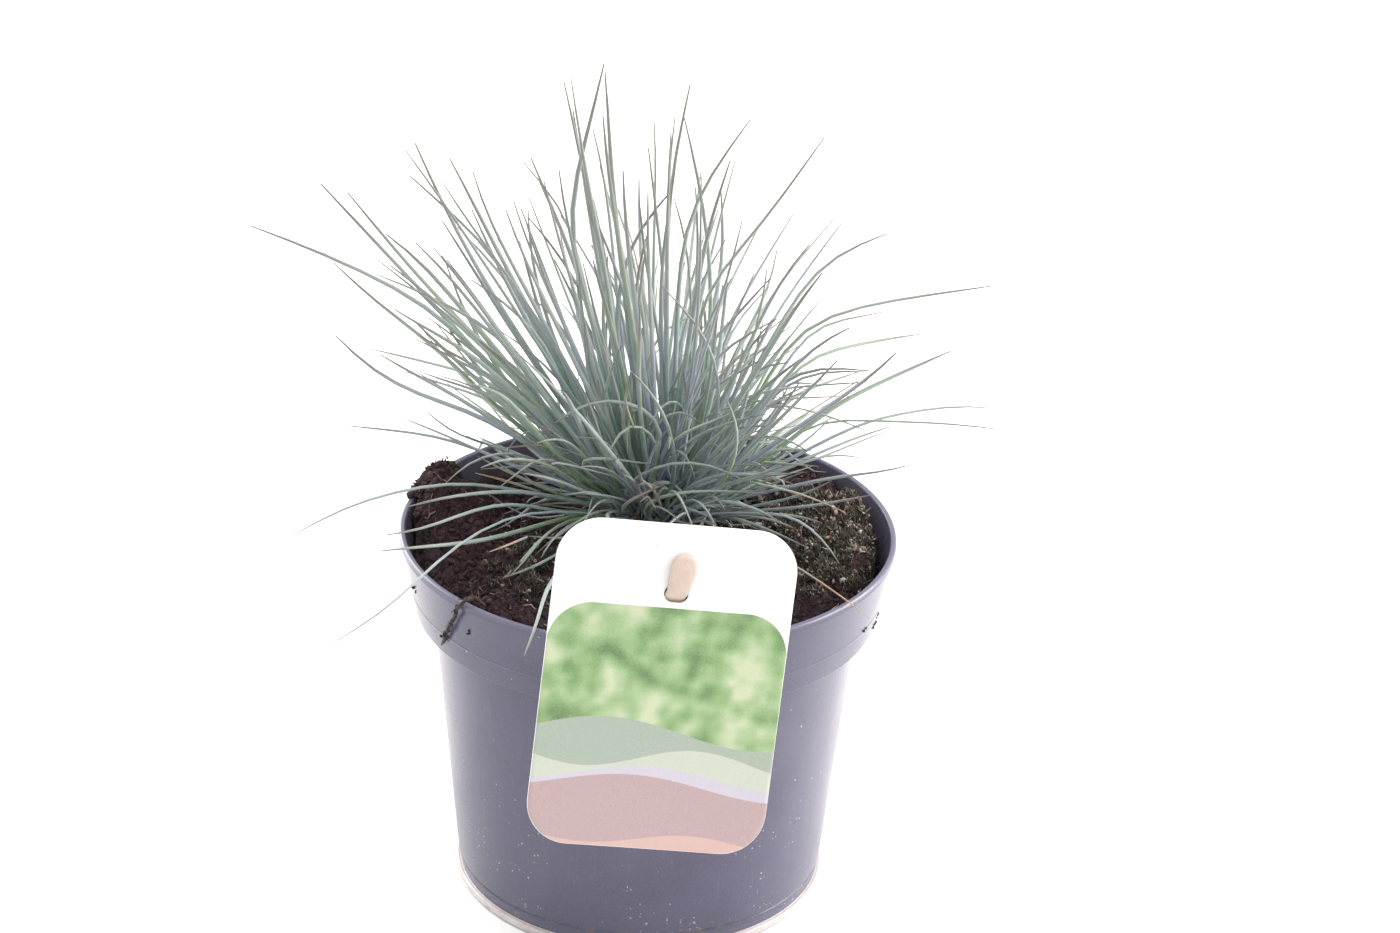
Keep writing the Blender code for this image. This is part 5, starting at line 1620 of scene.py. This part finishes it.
def buildLeaves(seats, feet, axes, dice, material):
    # rolled blades: full width for most of their length, then drawn out to a fine tip
    spec = clumpSpec
    guides, guideOwners = readPaths(seats, feet, axes, dice)
    far, farOwners = farPaths(seats, feet, axes, dice)
    read = np.concatenate([guides, far])
    fills, fillOwners = fillPaths(read, seats, feet, dice)
    paths = relaxed(np.concatenate([read, fills]))
    owners = np.concatenate([guideOwners, farOwners, fillOwners])
    dryness = np.concatenate([np.zeros(len(read)), 0.3 * (dice.random(len(fills)) < 0.03)])
    count = len(paths)

    share = np.linspace(0.0, 1.0, spec["bladeRings"])
    base = dice.uniform(*spec["bladeRadius"], count)[:, None]
    radii = base * (0.85 + 0.15 * ease(0.0, 0.25, share)) * (1.0 - share ** 4.5) ** 0.9 + 0.16
    radii[:len(read)] *= 1.12
    upright = ease(105.0, 165.0, paths[:, -1, 2])
    radii *= 0.7 + 0.38 * upright[:, None]      # low leaves are narrower
    radii[len(read) + spec["fillLeaves"]:] *= 0.8
    lastRead = len(guides) - 1                  # this one is dead and thin
    radii[lastRead] *= 0.75
    dryness[lastRead] = 0.9
    across = np.column_stack([dice.normal(size=(count, 2)), 0.3 * dice.normal(size=count)])
    twist = dice.normal(0.0, spec["twist"], (count, 1)) * share
    bluer = 0.16 * bell(np.linalg.norm(seats[owners] - np.array([0.1, -0.3]), axis=1), 0.6)
    tint = np.clip(dice.normal(0.57, 0.25, count) - bluer, 0.0, 1.0)
    tint = np.where(upright < 0.1, np.maximum(tint, 0.42), tint)      # and seldom lavender

    for shoot in range(spec["shoots"]):
        mine = np.flatnonzero(owners == shoot)
        rods = strands(paths[mine], radii[mine], spec["bladeSides"], across[mine],
                       spec["bladeFlatness"], twist[mine])
        makeLeaves(f"shootLeaves_{shoot + 1:02d}", [f"shoot_{shoot + 1:02d}"], rods, material,
                   tint[mine], share, dryness[mine])
    print("clump:", count, "leaves in", spec["shoots"], "shoots")


def buildSheaths(feet, axes, dice):
    # a sleeve round each shoot's foot, and brown stubs of last year's leaves between them
    spec = clumpSpec
    count, amount = spec["shoots"], spec["thatch"]
    rise = np.linspace(0.0, 1.0, len(spec["sheathShape"]))[None, :, None]
    sleeves = feet[:, None, :] + axes[:, None, :] * (rise * spec["sheathLength"] - 1.2)
    width = spec["sheathRadius"] * np.array([spec["sheathShape"]]) * dice.uniform(0.85, 1.15, (count, 1))
    sleeve = strands(sleeves, width, 8, (1.0, 0.0, 0.0))
    bearing = 2 * np.pi * dice.random(amount)
    out = np.sqrt(dice.random(amount)) * 1.12
    x, y = seatPlaces(polar(bearing, out))
    ways = polar(bearing, out, dice.uniform(0.1, 1.1, amount))
    ways += dice.normal(0.0, 0.3, ways.shape)
    ways /= np.linalg.norm(ways, axis=1, keepdims=True)
    stubs = wander(np.column_stack([x, y, soilHeight(x, y)]), ways,
                   dice.uniform(*spec["thatchLengths"], amount), 7, 0.12, dice)
    stubs[..., 2] = np.maximum(stubs[..., 2], soilHeight(stubs[..., 0], stubs[..., 1]) + 0.5)
    thin = dice.uniform(*spec["thatchRadii"], (amount, 1)) * np.linspace(1.0, 0.5, 7)[None]
    stub = strands(stubs, thin, 4, (0.3, 0.2, 1.0), 0.6)
    tint = np.concatenate([np.repeat(dice.random(count) * 0.4, sleeve[3]),
                           np.repeat(0.4 + 0.6 * dice.random(amount), stub[3])])
    makePiece("sheathsAndThatch", joined(sleeve, stub), sheath(), marks={"tint": tint})
    print("clump:", count, "sheaths and", amount, "stubs")


def buildDryLeaves(material):
    # dead leaves that lie among the others
    spec = clumpSpec
    paths = []
    for tipDepth, nearDepth, pixels, _ in dryLeaves:
        pixels = np.array(pixels[::-1], float)
        deep = spec["middle"][1] + np.linspace(nearDepth, tipDepth, len(pixels))
        paths.append(smoothLine(sightTo(pixels, deep), spec["bladeRings"]))
    paths = keepClear(np.array(paths))
    share = np.linspace(0.0, 1.0, spec["bladeRings"])
    thin = np.full((len(paths), 1), spec["dryRadius"]) * (1.0 - share ** 2.4) ** 0.75 + 0.06
    rods = strands(paths, thin, spec["bladeSides"], (0.4, 0.6, 0.3), spec["dryFlatness"])
    makeLeaves("dryLeaves", (), rods, material, np.full(len(paths), 0.7), 0.4 + 0.6 * share,
               [row[3] for row in dryLeaves])
    print("clump:", len(paths), "dead leaves")


def buildClump():
    dice = np.random.default_rng(41)
    seats, feet, axes = shootSeats()
    material = blade()
    buildLeaves(seats, feet, axes, dice, material)
    buildSheaths(feet, axes, dice)
    buildDryLeaves(material)


def blade():
    # waxy blue-green leaf: each its own tone, paler bloom in patches, fine ridges along, tan tip
    spec = clumpSpec
    paint = newMaterial("fescueBlade")
    along = paint.mark("along")
    varied = paint.between(paint.noise(45.0, 2.0), 0.3, 0.7, -0.16, 0.16)
    paint.colour = paint.ramp(paint.maths("ADD", paint.mark("tint"), varied), spec["green"])
    bloom = paint.between(paint.noise(420.0, 3.0, 0.6, stretch=(1.0, 1.0, 0.5)), 0.4, 0.68, 0.0, 0.45)
    paint.cover(spec["bloom"], bloom)
    paint.cover((0.16, 0.185, 0.11), paint.between(along, 0.12, 0.0, 0.0, 0.6))
    around = paint.part(paint.add("UVMap", uv_map="bladeMap").outputs["UV"], "X")
    ridges = paint.maths("SINE", paint.times(around, 2 * math.pi * spec["ridges"]))
    groove = paint.between(paint.maths("ABSOLUTE", paint.maths("SUBTRACT", around, 0.5)), 0.09, 0.0, 0.0, 0.4)
    paint.cover((0.07, 0.11, 0.07), groove)
    # greyer on the outer half and towards the end; the high, upright parts are painted darker, a painted
    # shade
    paint.cover((0.350, 0.385, 0.362), paint.between(along, 0.25, 0.7, 0.0, 0.65))
    # painted shade: darker with height
    paint.cover((0.165, 0.175, 0.150), paint.between(paint.part(paint.place, "Z"), 0.13, 0.19, 0.0, 0.55))
    paint.cover((0.155, 0.156, 0.138), paint.between(along, 0.7, 1.0, 0.0, 0.85))
    paint.cover((0.14, 0.13, 0.115), paint.between(along, 0.95, 1.0, 0.0, 0.7))
    # dry leaves turn to straw from the tip down, in blotches
    blotch = paint.noise(160.0)
    parched = paint.between(paint.maths("ADD", along, blotch), 0.9, 1.3)
    straw = paint.blend(paint.between(blotch, 0.4, 0.6), *spec["straw"])
    straw = paint.blend(paint.between(along, 0.86, 0.98, 0.0, 0.7), straw, (0.62, 0.53, 0.45))
    paint.cover(straw, paint.maths("MULTIPLY", paint.mark("dry"), parched, clamp=True))
    relief = paint.weighed((ridges, 0.5), (groove, -2.0))
    return paint.finish(paint.between(bloom, 0.0, 0.5, 0.5, 0.68), relief, 0.00004, 0.8, sheen=0.12)


def sheath():
    paint = newMaterial("drySheath", clumpSpec["thatchColours"])
    grain = paint.noise(1900.0, stretch=(1.0, 1.0, 0.15))
    paint.cover((0.08, 0.05, 0.035), paint.between(grain, 0.45, 0.7, 0.0, 0.6))
    return paint.finish(paint.between(grain, 0.3, 0.7, 0.8, 0.55), grain, 0.0002, 0.6)


buildStudio()
buildPot()
buildRootBall()
buildCrumbs()
buildFibres()
buildMoss()
buildGrit()
buildCard()
buildPeg()
buildLooseRoot()
buildClump()
